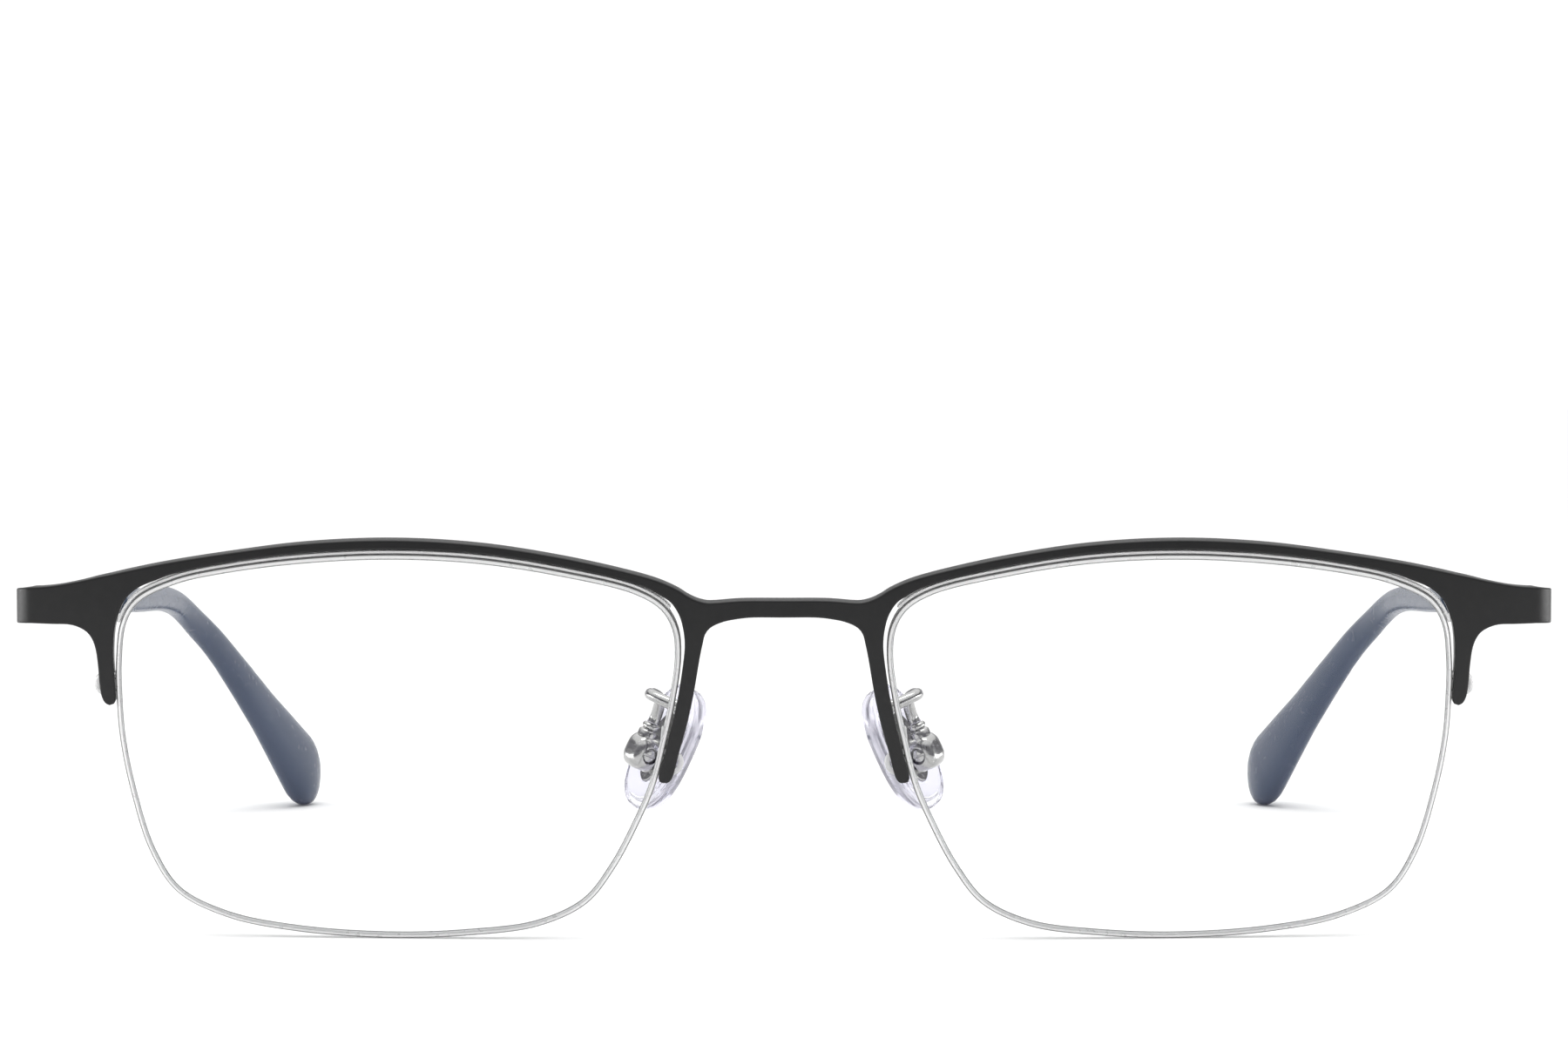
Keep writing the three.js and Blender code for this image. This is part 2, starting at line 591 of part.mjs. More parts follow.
function templeTip() {
  const body = sweep(sleeveLine(), 32, 14, (t, angle) => {
    const past = Math.max(0, (t - 1 + END_ROUNDING) / END_ROUNDING);
    const scale = Math.sqrt(1 - past * past);
    const across = (valueAt(SLEEVE_THICKNESS, t) / 2) * scale;
    const up = (valueAt(SLEEVE_HEIGHT, t) / 2) * scale;
    return [
      across * squared(Math.cos(angle), SLEEVE_SQUARENESS),
      up * squared(Math.sin(angle), SLEEVE_SQUARENESS),
    ];
  }, OUTWARD, sleeveStation);
  return cut(body, core(CORE_GAP, SLEEVE_START - 1, CORE_END));
}

// The wire that stiffens the sleeve; a positive margin makes the channel it runs in.
const CORE_HALF_WIDTH = 0.42;
const CORE_HALF_HEIGHT = 0.55;

function core(margin, start, end) {
  const middle = TEMPLE_LINE.filter(([, y]) => y > start + 5 && y < end[1] - 2);
  const last = margin > 0 ? [end[0] - 0.25, end[1] + 0.9, end[2] - 0.62] : end;
  const line = spline([[ARM_X, start, 0], ...middle, last]);
  return sweep(line, 20, 6, (t, angle) => [
    (CORE_HALF_WIDTH + margin) * Math.cos(angle),
    (CORE_HALF_HEIGHT + margin) * Math.sin(angle),
  ], OUTWARD);
}

// The flat bar, tapering from the hinge to the sleeve, with the core wire running on from its end.
function templeArm() {
  const end = SLEEVE_START - 0.3;
  const bar = reshape(new THREE.BoxGeometry(1, 1, 1, 1, 8, 1), (x, y, z) => {
    const t = y + 0.5;
    const thickness = THREE.MathUtils.lerp(ARM_THICKNESS, 1, t);
    const height = THREE.MathUtils.lerp(HINGE_HEIGHT, 2.1, t);
    return new THREE.Vector3(ARM_X + x * thickness, THREE.MathUtils.lerp(BUTT_GAP, end, t), z * height);
  });
  return join(bar, core(0, end - 2, CORE_END));
}

// ---- Assembly ----

const glasses = new THREE.Group();
glasses.name = "half_rim_eyeglasses";

function add(parent, name, geometry, material) {
  const mesh = new THREE.Mesh(geometry, material);
  mesh.name = name;
  parent.add(mesh);
  return mesh;
}

// The leaning frame that the front is drawn in. Each lens's lower front edge is on the ground.
const front = new THREE.Group();
const lowest = onFront(LENS_MIDDLE, GROUND_HEIGHT, 0.25);
front.rotation.x = Math.PI / 2 + TILT;
lowest.applyEuler(front.rotation);
front.position.set(0, FRONT_Y - lowest.y, -lowest.z);
front.updateMatrixWorld();
glasses.add(front);
add(front, "front_frame", frontFrame(), blackPaint);

// The hinge axis stands beside the inner face of the endpiece, just behind its end.
const legEnd = onFront(LEG_END, (LEG_TOP_HEIGHT + LEG_UNDER_HEIGHT) / 2, PLATE);
legEnd.applyMatrix4(front.matrixWorld);
const hingeTurn = new THREE.Euler(-TEMPLE_DROP, 0, TOE_IN, "ZYX");
const hingeOrigin = new THREE.Vector3(-AXIS_INSIDE, BUTT_GAP / 2, 0).applyEuler(hingeTurn).add(legEnd);

function halfOf(side) {
  const half = new THREE.Group();
  const frontHalf = new THREE.Group();
  frontHalf.applyMatrix4(front.matrixWorld);
  add(frontHalf, `lens_${side}`, lens(), lensPlastic);
  add(frontHalf, `rim_liner_${side}`, rimLiner(), clearPlastic);
  add(frontHalf, `lens_cord_${side}`, lensCord(), clearPlastic);

  const pad = new THREE.Group();
  pad.name = `pad_frame_${side}`;
  pad.applyMatrix4(PAD_FRAME);
  add(pad, `nose_pad_${side}`, nosePad(), silicone);
  add(pad, `pad_core_${side}`, padCore(), steel);
  add(pad, `pad_box_${side}`, padBox(), steel);
  add(pad, `pad_screw_${side}`, padScrew(), steel);
  add(half, `pad_arm_${side}`, padArm(), steel);

  const hinge = new THREE.Group();
  hinge.name = `hinge_frame_${side}`;
  hinge.position.copy(hingeOrigin);
  hinge.rotation.copy(hingeTurn);
  add(hinge, `hinge_front_leaf_${side}`, hingeFrontLeaf(), steel);
  add(hinge, `hinge_temple_leaf_${side}`, hingeTempleLeaf(), steel);
  add(hinge, `hinge_screw_${side}`, hingeScrew(), steel);
  add(hinge, `temple_arm_${side}`, templeArm(), blackPaint);
  add(hinge, `temple_tip_${side}`, templeTip(), navyAcetate);

  half.add(frontHalf, pad, hinge);
  return half;
}

const leftHalf = halfOf("left");
const rightHalf = halfOf("right");
rightHalf.scale.x = -1;
glasses.add(leftHalf, rightHalf);

export default glasses;
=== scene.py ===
"""Half rim eyeglasses: the finished surfaces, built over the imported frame. Shapes are made in millimetres
and scaled to metres as they become pieces. +X is the wearer's left, +Y runs back along the temples, and +Z
is up."""

import math

import bmesh
import bpy
from mathutils import Matrix, Vector, geometry, kdtree


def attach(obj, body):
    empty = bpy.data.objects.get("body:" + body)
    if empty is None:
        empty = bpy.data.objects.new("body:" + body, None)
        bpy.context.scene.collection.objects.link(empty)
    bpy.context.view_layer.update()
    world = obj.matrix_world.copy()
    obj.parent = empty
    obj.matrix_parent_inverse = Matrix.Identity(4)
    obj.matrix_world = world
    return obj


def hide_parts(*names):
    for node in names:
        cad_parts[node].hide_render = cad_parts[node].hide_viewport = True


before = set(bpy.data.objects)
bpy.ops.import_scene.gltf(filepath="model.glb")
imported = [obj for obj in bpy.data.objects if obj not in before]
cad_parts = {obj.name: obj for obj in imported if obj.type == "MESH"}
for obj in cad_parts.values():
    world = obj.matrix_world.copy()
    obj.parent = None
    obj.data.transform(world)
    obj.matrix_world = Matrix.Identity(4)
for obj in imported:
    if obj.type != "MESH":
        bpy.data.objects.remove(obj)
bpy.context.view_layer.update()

MM = 0.001
SIDES = ("left", "right")

# ---- Driving dimensions, as in the CAD, in millimetres ----

LENS_MIDDLE = 35.2
BASE_RADIUS = 132
WRAP = math.radians(4)
TILT = math.radians(7)
GROUND_HEIGHT = -17.8
FRONT_Y = -64.46
RIM_DEPTH = 1.7
PLATE = 1.3
BRIDGE_FLAT = 7
BRIDGE_BLEND = 11
WRAP_START = 68.85
WRAP_RADIUS = 2.4
LEG_LENGTH = 6.5
LENS_THICKNESS = 1.9
HINGE_RADIUS = 1.1
HINGE_HEIGHT = 3
AXIS_INSIDE = 1.35
BUTT_GAP = 0.2
TEMPLE_DROP = math.radians(2.75)
TOE_IN = math.radians(2)
ARM_THICKNESS = 1.2
PAD_SPLAY = math.radians(37)
PAD_FLARE = math.radians(25)
PAD_MIDDLE = Vector((10.95, FRONT_Y + 6, 16.9))
PAD_LENGTH = 12
PAD_WIDTH = 7.8
PAD_THICKNESS = 2
PAD_SQUARENESS = 0.78
WIRE_RADIUS = 0.54
# Rings that round off each end of a sweep, and how far the first stands off the end, in steps.
END_STEPS = 7
END_OFFSET = 0.35
# The smallest ring of a turned solid, which stands for a point on its axis.
POINT_RADIUS = 0.004
# The chamfer on shapes that only cut, where it is too small to see.
FINE_CHAMFER = 0.01


# ---- Curves ----

def between(p0, p1, p2, p3, u):
    """A point on the centripetal Catmull-Rom curve from p1 to p2."""
    t1 = (p1 - p0).length ** 0.5
    t2 = t1 + (p2 - p1).length ** 0.5
    t3 = t2 + (p3 - p2).length ** 0.5
    t = t1 + (t2 - t1) * u
    a1 = p0.lerp(p1, t / t1)
    a2 = p1.lerp(p2, (t - t1) / (t2 - t1))
    a3 = p2.lerp(p3, (t - t2) / (t3 - t2))
    b1 = a1.lerp(a2, t / t2)
    b2 = a2.lerp(a3, (t - t1) / (t3 - t1))
    return b1.lerp(b2, (t - t1) / (t2 - t1))


def spline(points, spacing, closed=False):
    """Points about one spacing apart on a smooth curve through the given ones."""
    knots = [Vector(p) for p in points]
    if closed:
        knots = [knots[-1], *knots, knots[0], knots[1]]
    else:
        knots = [2 * knots[0] - knots[1], *knots, 2 * knots[-1] - knots[-2]]
    made = []
    for p0, p1, p2, p3 in zip(knots, knots[1:], knots[2:], knots[3:]):
        count = max(1, round((p2 - p1).length / spacing))
        made += [between(p0, p1, p2, p3, k / count) for k in range(count)]
    return made if closed else [*made, knots[-2]]


def value_at(table, t):
    """A smoothly varying number, read from (position, value) pairs at position t."""
    knots = [Vector((position, value, 0)) for position, value in table]
    t = min(max(t, knots[0].x), knots[-1].x)
    for k in range(len(knots) - 1):
        if t <= knots[k + 1].x:
            break
    before = knots[k - 1] if k else 2 * knots[0] - knots[1]
    after = knots[k + 2] if k + 2 < len(knots) else 2 * knots[-1] - knots[-2]
    u = (t - knots[k].x) / (knots[k + 1].x - knots[k].x)
    return between(before, knots[k], knots[k + 1], after, u).y


def smoothstep(x, low, high):
    t = min(max((x - low) / (high - low), 0), 1)
    return t * t * (3 - 2 * t)


def superellipse(a, b, power, count):
    """A ring of [a, b] offsets; power 1 gives an ellipse, and less squares it off."""
    ring = []
    for k in range(count):
        angle = 2 * math.pi * k / count
        c, s = math.cos(angle), math.sin(angle)
        ring.append((math.copysign(abs(c) ** power, c) * a, math.copysign(abs(s) ** power, s) * b))
    return ring


# ---- Shapes: bmeshes in millimetres ----

def shape(vertices, faces):
    made = bmesh.new()
    placed = [made.verts.new(v) for v in vertices]
    for face in faces:
        made.faces.new([placed[k] for k in face])
    bmesh.ops.recalc_face_normals(made, faces=made.faces)
    return made


def loft(rings):
    """A skin over rings of points, capped at both ends."""
    size = len(rings[0])
    last = (len(rings) - 1) * size
    faces = []
    for here in range(0, last, size):
        there = here + size
        for k in range(size):
            m = (k + 1) % size
            faces.append((here + k, here + m, there + m, there + k))
    faces += [tuple(range(size)), tuple(range(last, last + size))]
    return shape([p for ring in rings for p in ring], faces)


def stations(length, spacing, rounding):
    """Distances along a path, closer together in the rounded stretches at its start and end."""
    first, last = rounding
    count = max(1, round((length - first - last) / spacing))
    made = [first + (length - first - last) * k / count for k in range(count + 1)]
    turns = [1 - math.cos(math.pi / 2 * (k + END_OFFSET) / END_STEPS) for k in range(END_STEPS)]
    if first:
        made = [first * turn for turn in turns] + made
    if last:
        made += [length - last * turn for turn in reversed(turns)]
    return made


def sweep(path, section, reference, rounding=(0, 0), spacing=0.3):
    """A solid along a path. section(t) is a ring of [side, up] offsets at the share t of its length, and side
    is the direction closest to the reference vector. Its ends are rounded off over two distances."""
    lengths = [0]
    for here, there in zip(path, path[1:]):
        lengths.append(lengths[-1] + (there - here).length)
    first, last = rounding
    rings = []
    k = 0
    for distance in stations(lengths[-1], spacing, rounding):
        while k < len(path) - 2 and lengths[k + 1] < distance:
            k += 1
        share = (distance - lengths[k]) / (lengths[k + 1] - lengths[k])
        before = path[k] - path[k - 1] if k else path[1] - path[0]
        after = path[k + 2] - path[k + 1] if k + 2 < len(path) else path[-1] - path[-2]
        along = path[k + 1] - path[k]
        start, end = (before + along) / 2, (along + after) / 2
        tangent = start.lerp(end, share).normalized()
        side = (reference - tangent * reference.dot(tangent)).normalized()
        up = side.cross(tangent)
        scale = 1
        if distance < first:
            scale = math.sqrt(1 - (1 - distance / first) ** 2)
        if lengths[-1] - distance < last:
            scale = math.sqrt(1 - (1 - (lengths[-1] - distance) / last) ** 2)
        point = path[k].lerp(path[k + 1], share)
        rings.append([point + (side * a + up * b) * scale for a, b in section(distance / lengths[-1])])
    return loft(rings)


def lathe(profile, sides):
    """A solid turned about z from (radius, height) pairs."""
    rings = []
    for radius, height in profile:
        size = max(radius, POINT_RADIUS)
        ring = superellipse(size, size, power=1, count=sides)
        rings.append([Vector((x, y, height)) for x, y in ring])
    return loft(rings)


def drum(radius, low, high, chamfer, sides=48):
    return lathe([(radius - chamfer, low), (radius, low + chamfer), (radius, high - chamfer),
                  (radius - chamfer, high)], sides)


def block(low, high, rounding, segments=3):
    """A box between two corners, its edges rounded."""
    low, high = Vector(low), Vector(high)
    made = bmesh.new()
    bmesh.ops.create_cube(made, size=1)
    bmesh.ops.scale(made, vec=high - low, verts=made.verts)
    bmesh.ops.translate(made, vec=(low + high) / 2, verts=made.verts)
    bmesh.ops.bevel(made, geom=[*made.verts, *made.edges], offset=rounding, segments=segments,
                    profile=0.5, affect="EDGES")
    return made


def moved(made, matrix):
    bmesh.ops.transform(made, matrix=matrix, verts=made.verts)
    return made


def temporary(made):
    mesh = bpy.data.meshes.new("temporary")
    made.to_mesh(mesh)
    made.free()
    thing = bpy.data.objects.new("temporary", mesh)
    bpy.context.scene.collection.objects.link(thing)
    return thing


def combined(base, steps):
    """The base joined with or cut by other shapes, in order: steps are ("UNION" or "DIFFERENCE", shape)."""
    things = [temporary(base)]
    for operation, tool in steps:
        things.append(temporary(tool))
        modifier = things[0].modifiers.new("combine", "BOOLEAN")
        modifier.operation = operation
        modifier.solver = "EXACT"
        modifier.object = things[-1]
    result = bmesh.new()
    result.from_object(things[0], bpy.context.evaluated_depsgraph_get())
    for thing in things:
        bpy.data.meshes.remove(thing.data)
    return result


def join(base, *others):
    return combined(base, [("UNION", other) for other in others])


def cut(base, *tools):
    return combined(base, [("DIFFERENCE", tool) for tool in tools])


# ---- Pieces ----

def piece(name, made, body, materials, matrix=Matrix(), mirror=False, sharp=35, replaces=None):
    """A finished piece: placed, mirrored for the right side, scaled to metres, and riding on its body."""
    flip = Matrix.Scale(-1, 4, (1, 0, 0)) if mirror else Matrix()
    moved(made, Matrix.Scale(MM, 4) @ flip @ matrix)
    bmesh.ops.recalc_face_normals(made, faces=made.faces)
    mesh = bpy.data.meshes.new(name)
    made.to_mesh(mesh)
    made.free()
    mesh.shade_smooth()
    mesh.set_sharp_from_angle(angle=math.radians(sharp))
    for material in materials:
        mesh.materials.append(material)
    thing = bpy.data.objects.new(name, mesh)
    bpy.context.scene.collection.objects.link(thing)
    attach(thing, body)
    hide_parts(replaces or name.removesuffix("_skin"))
    return thing


def pair(name, build, body, materials, matrix=Matrix(), sharp=35):
    """The same piece for both sides. body is its name with {side} in it where each side has its own."""
    for side in SIDES:
        piece(f"{name}_{side}_skin", build(), body.format(side=side), materials, matrix,
              side == "right", sharp)


# ---- The front's surface: x across from the centre line, y up from the lens middle, depth as negative z ----

SPHERE_X = LENS_MIDDLE - BASE_RADIUS * math.sin(WRAP)
SPHERE_DEPTH = BASE_RADIUS * math.cos(WRAP)
# Where the sheet's back turns from facing straight back to facing square to the surface, going outward.
LEAN_FROM = 61.5
LEAN_TO = 67


def surface(across, height):
    """Depth of the front surface, and how steeply it falls back in the across direction."""
    x = max(across, BRIDGE_BLEND)
    reach = math.sqrt(BASE_RADIUS ** 2 - (x - SPHERE_X) ** 2 - height ** 2)
    depth = SPHERE_DEPTH - reach
    slope = (x - SPHERE_X) / reach
    if across < BRIDGE_BLEND:
        blend = BRIDGE_BLEND - BRIDGE_FLAT
        left = max(across - BRIDGE_FLAT, 0)
        depth -= slope * (blend ** 2 - left ** 2) / (2 * blend)
        slope *= left / blend
    return depth, slope


def on_front(across, height, behind):
    """The point a given way behind the front surface, past WRAP_START round the bend of the endpiece."""
    x = min(abs(across), WRAP_START)
    past = abs(across) - x
    depth, slope = surface(x, height)
    start = math.atan(slope)
    turned = min(past / WRAP_RADIUS, math.pi / 2 + TOE_IN - start)
    straight = past - turned * WRAP_RADIUS
    heading = start + turned
    out = WRAP_RADIUS * (math.sin(heading) - math.sin(start)) + straight * math.cos(heading)
    back = WRAP_RADIUS * (math.cos(start) - math.cos(heading)) + straight * math.sin(heading)
    lean = heading if past > 0 else start * smoothstep(x, LEAN_FROM, LEAN_TO)
    return Vector((
        math.copysign(x + out - math.sin(lean) * behind, across),
        height - back * math.tan(TILT + TEMPLE_DROP),
        -depth - back - math.cos(lean) * behind,
    ))


ENDPIECE_MIDDLE = 12
WRAP_TURN = math.pi / 2 + TOE_IN - math.atan(surface(WRAP_START, ENDPIECE_MIDDLE)[1])
LEG_START = WRAP_START + WRAP_TURN * WRAP_RADIUS
LEG_END = LEG_START + LEG_LENGTH
LEG_TOP_HEIGHT = 13.55
LEG_UNDER_HEIGHT = 10.35
LEG_BEVEL = (LEG_TOP_HEIGHT - LEG_UNDER_HEIGHT) / 2 * math.tan(TILT + TEMPLE_DROP)

# ---- Frames that pieces are drawn in ----

# The lens stands on a point taken to be this far behind its front surface.
LOWEST_BEHIND = 0.25
FRONT_TURN = Matrix.Rotation(math.pi / 2 + TILT, 4, "X")
lowest = FRONT_TURN @ on_front(LENS_MIDDLE, GROUND_HEIGHT, LOWEST_BEHIND)
FRONT = Matrix.Translation((0, FRONT_Y - lowest.y, -lowest.z)) @ FRONT_TURN

HINGE_TURN = Matrix.Rotation(TOE_IN, 4, "Z") @ Matrix.Rotation(-TEMPLE_DROP, 4, "X")
leg_end = FRONT @ on_front(LEG_END, (LEG_TOP_HEIGHT + LEG_UNDER_HEIGHT) / 2, PLATE)
HINGE = Matrix.Translation(HINGE_TURN @ Vector((-AXIS_INSIDE, BUTT_GAP / 2, 0)) + leg_end) @ HINGE_TURN

pad_up = Vector((-math.sin(PAD_FLARE), 0, math.cos(PAD_FLARE)))
pad_back = Vector((math.sin(PAD_SPLAY), math.cos(PAD_SPLAY), 0))
pad_back = (pad_back - pad_up * pad_back.dot(pad_up)).normalized()
pad_axes = Matrix((pad_up.cross(pad_back), pad_up, pad_back)).transposed()
PAD = Matrix.Translation(PAD_MIDDLE) @ pad_axes.to_4x4()

# ---- Camera, lights and floor, in metres ----

# The camera stands about 480 mm in front of the glasses, a distance that is assumed.
CAMERA_PLACE = (0, -0.54407, 0.05738)
CAMERA_PITCH = math.radians(90 - 2.319)
CAMERA_LENS = 121.17
CAMERA_SENSOR = 36

# How bright the studio is at its sides, behind the object and overhead.
WORLD_SIDE = 0.22
WORLD_BACK = 1.12
WORLD_TOP = 0.5
# The share of its light that the back wall keeps at its top, and the directions over which light changes:
# from side to back, up the wall, and up into the ceiling.
WALL_TOP = 0.3
SIDE_TO_BACK = (0.35, 0.92)
UP_WALL = (0.08, 0.3)
INTO_CEILING = (0.1, 0.9)

FLOOR_SIDE = 1.5
FLOOR_BACK = 2.5
FLOOR_Z = -0.00002


def make_camera():
    camera = bpy.data.cameras.new("camera")
    camera.lens = CAMERA_LENS
    camera.sensor_width = CAMERA_SENSOR
    camera.clip_start = 0.05
    camera.clip_end = 20
    thing = bpy.data.objects.new("camera", camera)
    thing.location = CAMERA_PLACE
    thing.rotation_euler = (CAMERA_PITCH, 0, 0)
    bpy.context.scene.collection.objects.link(thing)
    bpy.context.scene.camera = thing


def scaled_range(tree, value, reach, result, smooth=False):
    """Turns a value within reach into one within result."""
    node = tree.nodes.new("ShaderNodeMapRange")
    if smooth:
        node.interpolation_type = "SMOOTHSTEP"
    node.inputs["From Min"].default_value, node.inputs["From Max"].default_value = reach
    node.inputs["To Min"].default_value, node.inputs["To Max"].default_value = result
    tree.links.new(value, node.inputs["Value"])
    return node.outputs[0]


def make_world():
    """A studio with a low white wall behind the object, a light ceiling, and dimmer sides and front. The
    camera itself sees plain white all round."""
    world = bpy.data.worlds.new("studio")
    world.use_nodes = True
    tree = world.node_tree
    tree.nodes.clear()
    add, link = tree.nodes.new, tree.links.new
    place = add("ShaderNodeTexCoord")
    split = add("ShaderNodeSeparateXYZ")
    link(place.outputs["Generated"], split.inputs[0])
    back, up = split.outputs["Y"], split.outputs["Z"]
    wall = scaled_range(tree, back, SIDE_TO_BACK, (WORLD_SIDE, WORLD_BACK), smooth=True)
    fade = scaled_range(tree, up, UP_WALL, (1, WALL_TOP), smooth=True)
    ceiling = scaled_range(tree, up, INTO_CEILING, (0, WORLD_TOP), smooth=True)
    total = add("ShaderNodeMath")
    total.operation = "MULTIPLY_ADD"
    link(wall, total.inputs[0])
    link(fade, total.inputs[1])
    link(ceiling, total.inputs[2])
    lit, shown = add("ShaderNodeBackground"), add("ShaderNodeBackground")
    for background in (lit, shown):
        background.inputs["Color"].default_value = (1, 1, 1, 1)
    link(total.outputs[0], lit.inputs["Strength"])
    shown.inputs["Strength"].default_value = WORLD_BACK
    rays, mix, out = add("ShaderNodeLightPath"), add("ShaderNodeMixShader"), add("ShaderNodeOutputWorld")
    link(rays.outputs["Is Camera Ray"], mix.inputs[0])
    link(lit.outputs[0], mix.inputs[1])
    link(shown.outputs[0], mix.inputs[2])
    link(mix.outputs[0], out.inputs[0])
    bpy.context.scene.world = world


def soft_light(name, size, power, place, towards):
    """A rectangular light, its size in metres and its power in watts."""
    light = bpy.data.lights.new(name, "AREA")
    light.shape = "RECTANGLE"
    light.size, light.size_y = size
    light.energy = power
    thing = bpy.data.objects.new(name, light)
    thing.location = place
    thing.rotation_euler = (Vector(towards) - Vector(place)).to_track_quat("-Z", "Y").to_euler()
    bpy.context.scene.collection.objects.link(thing)


def make_lights():
    """The even light from above, a nearer one overhead, and a low one at each side."""
    make_sun()
    soft_light("overhead", (0.5, 0.12), 1, (0, -0.12, 0.6), (0, -0.06, 0))
    for side in (-1, 1):
        soft_light("beside", (0.5, 0.1), 1.2, (0.6 * side, 0, 0.06), (0, 0, 0.03))


def make_sun():
    """Very soft light from above, even over the whole floor."""
    light = bpy.data.lights.new("sky", "SUN")
    light.energy = 1.85
    light.angle = math.radians(120)
    bpy.context.scene.collection.objects.link(bpy.data.objects.new("sky", light))


def make_floor():
    corners = [(-FLOOR_SIDE, -FLOOR_SIDE, 0), (FLOOR_SIDE, -FLOOR_SIDE, 0),
               (FLOOR_SIDE, FLOOR_BACK, 0), (-FLOOR_SIDE, FLOOR_BACK, 0)]
    made = shape(corners, [(0, 1, 2, 3)])
    mesh = bpy.data.meshes.new("floor")
    made.to_mesh(mesh)
    mesh.materials.append(plain_floor())
    floor = bpy.data.objects.new("floor", mesh)
    floor.location.z = FLOOR_Z
    bpy.context.scene.collection.objects.link(floor)


# ---- Materials ----

NOISE_REACH = (0.3, 0.7)


def new_material(name):
    material = bpy.data.materials.new(name)
    material.use_nodes = True
    return material, material.node_tree, material.node_tree.nodes["Principled BSDF"]


def noise(tree, scale, detail=3, stretch=(1, 1, 1)):
    """Noise fixed to the piece. The scale is in features per metre."""
    place = tree.nodes.new("ShaderNodeTexCoord")
    mapping = tree.nodes.new("ShaderNodeMapping")
    mapping.inputs["Scale"].default_value = stretch
    grain = tree.nodes.new("ShaderNodeTexNoise")
    grain.inputs["Scale"].default_value = scale
    grain.inputs["Detail"].default_value = detail
    tree.links.new(place.outputs["Object"], mapping.inputs["Vector"])
    tree.links.new(mapping.outputs[0], grain.inputs["Vector"])
    return grain.outputs["Fac"]


def ramp(tree, value, low, high):
    """Spreads noise, most of which is within NOISE_REACH, from low to high."""
    return scaled_range(tree, value, NOISE_REACH, (low, high))


def blend_colours(tree, value, first, second):
    mix = tree.nodes.new("ShaderNodeMix")
    mix.data_type = "RGBA"
    mix.inputs["A"].default_value = (*first, 1)
    mix.inputs["B"].default_value = (*second, 1)
    tree.links.new(value, mix.inputs["Factor"])
    return mix.outputs["Result"]


def bump(tree, shader, value, height):
    """Fine relief, its height in metres."""
    relief = tree.nodes.new("ShaderNodeBump")
    relief.inputs["Distance"].default_value = height
    relief.inputs["Strength"].default_value = 1
    tree.links.new(value, relief.inputs["Height"])
    tree.links.new(relief.outputs[0], shader.inputs["Normal"])


def no_shadow(tree, shader, tint):
    """Lets light through a clear piece, tinted, where it would cast a hard shadow."""
    rays = tree.nodes.new("ShaderNodeLightPath")
    clear = tree.nodes.new("ShaderNodeBsdfTransparent")
    clear.inputs["Color"].default_value = (*tint, 1)
    mix = tree.nodes.new("ShaderNodeMixShader")
    tree.links.new(rays.outputs["Is Shadow Ray"], mix.inputs[0])
    tree.links.new(shader.outputs[0], mix.inputs[1])
    tree.links.new(clear.outputs[0], mix.inputs[2])
    tree.links.new(mix.outputs[0], tree.nodes["Material Output"].inputs["Surface"])


def plain_floor():
    material, tree, shader = new_material("floor")
    shader.inputs["Base Color"].default_value = (0.95, 0.95, 0.95, 1)
    shader.inputs["Roughness"].default_value = 0.9
    shader.inputs["Specular IOR Level"].default_value = 0
    return material


def black_paint():
    """Satin lacquer on metal: a faint mottle, and the fine unevenness of sprayed paint."""
    material, tree, shader = new_material("black_paint")
    mottle = noise(tree, 900)
    tree.links.new(blend_colours(tree, mottle, (0.005, 0.005, 0.0055), (0.01, 0.01, 0.0105)),
                   shader.inputs["Base Color"])
    tree.links.new(ramp(tree, noise(tree, 2600), 0.3, 0.4), shader.inputs["Roughness"])
    shader.inputs["Specular IOR Level"].default_value = 0.36
    bump(tree, shader, noise(tree, 3200, 2), 4e-6)
    return material


def lens_plastic():
    """Clear plastic, coated against reflections, with the coating's faint violet."""
    material, tree, shader = new_material("lens_plastic")
    shader.inputs["Specular Tint"].default_value = (0.2, 0.18, 0.3, 1)
    shader.inputs["Base Color"].default_value = (0.99, 0.994, 0.993, 1)
    shader.inputs["Transmission Weight"].default_value = 1
    shader.inputs["IOR"].default_value = 1.5
    tree.links.new(ramp(tree, noise(tree, 250), 0, 0.012), shader.inputs["Roughness"])
    no_shadow(tree, shader, (0.97, 0.98, 0.98))
    return material


def painted_shade_edge():
    """The rim and the groove's floor, left rough by the grinding wheel and coloured dark grey: painted shade
    that stands for the refraction at the lens's edge, showing as thin grey lines.
    """
    return frosted("lens_edge", (0.16, 0.16, 0.16), (0.22, 0.22, 0.22), 0.1)


def frosted_edge():
    """The bevels and the groove's sides, ground to an even light frost."""
    return frosted("lens_bevel", (0.84, 0.84, 0.84), (0.92, 0.92, 0.92), 0.2)


def frosted(name, low, high, clearness):
    material, tree, shader = new_material(name)
    shader.inputs["Transmission Weight"].default_value = clearness
    shader.inputs["IOR"].default_value = 1.5
    haze = noise(tree, 1200)
    tree.links.new(blend_colours(tree, haze, low, high), shader.inputs["Base Color"])
    tree.links.new(ramp(tree, haze, 0.25, 0.4), shader.inputs["Roughness"])
    no_shadow(tree, shader, (0.8, 0.8, 0.8))
    return material


def clear_nylon(name, tint):
    """Milky drawn nylon, its surface finely streaked."""
    material, tree, shader = new_material(name)
    shader.inputs["Transmission Weight"].default_value = 0.5
    shader.inputs["IOR"].default_value = 1.53
    streaks = noise(tree, 2500)
    tree.links.new(blend_colours(tree, streaks, tint, (0.97, 0.97, 0.97)), shader.inputs["Base Color"])
    tree.links.new(ramp(tree, streaks, 0.1, 0.25), shader.inputs["Roughness"])
    no_shadow(tree, shader, (0.8, 0.8, 0.8))
    return material


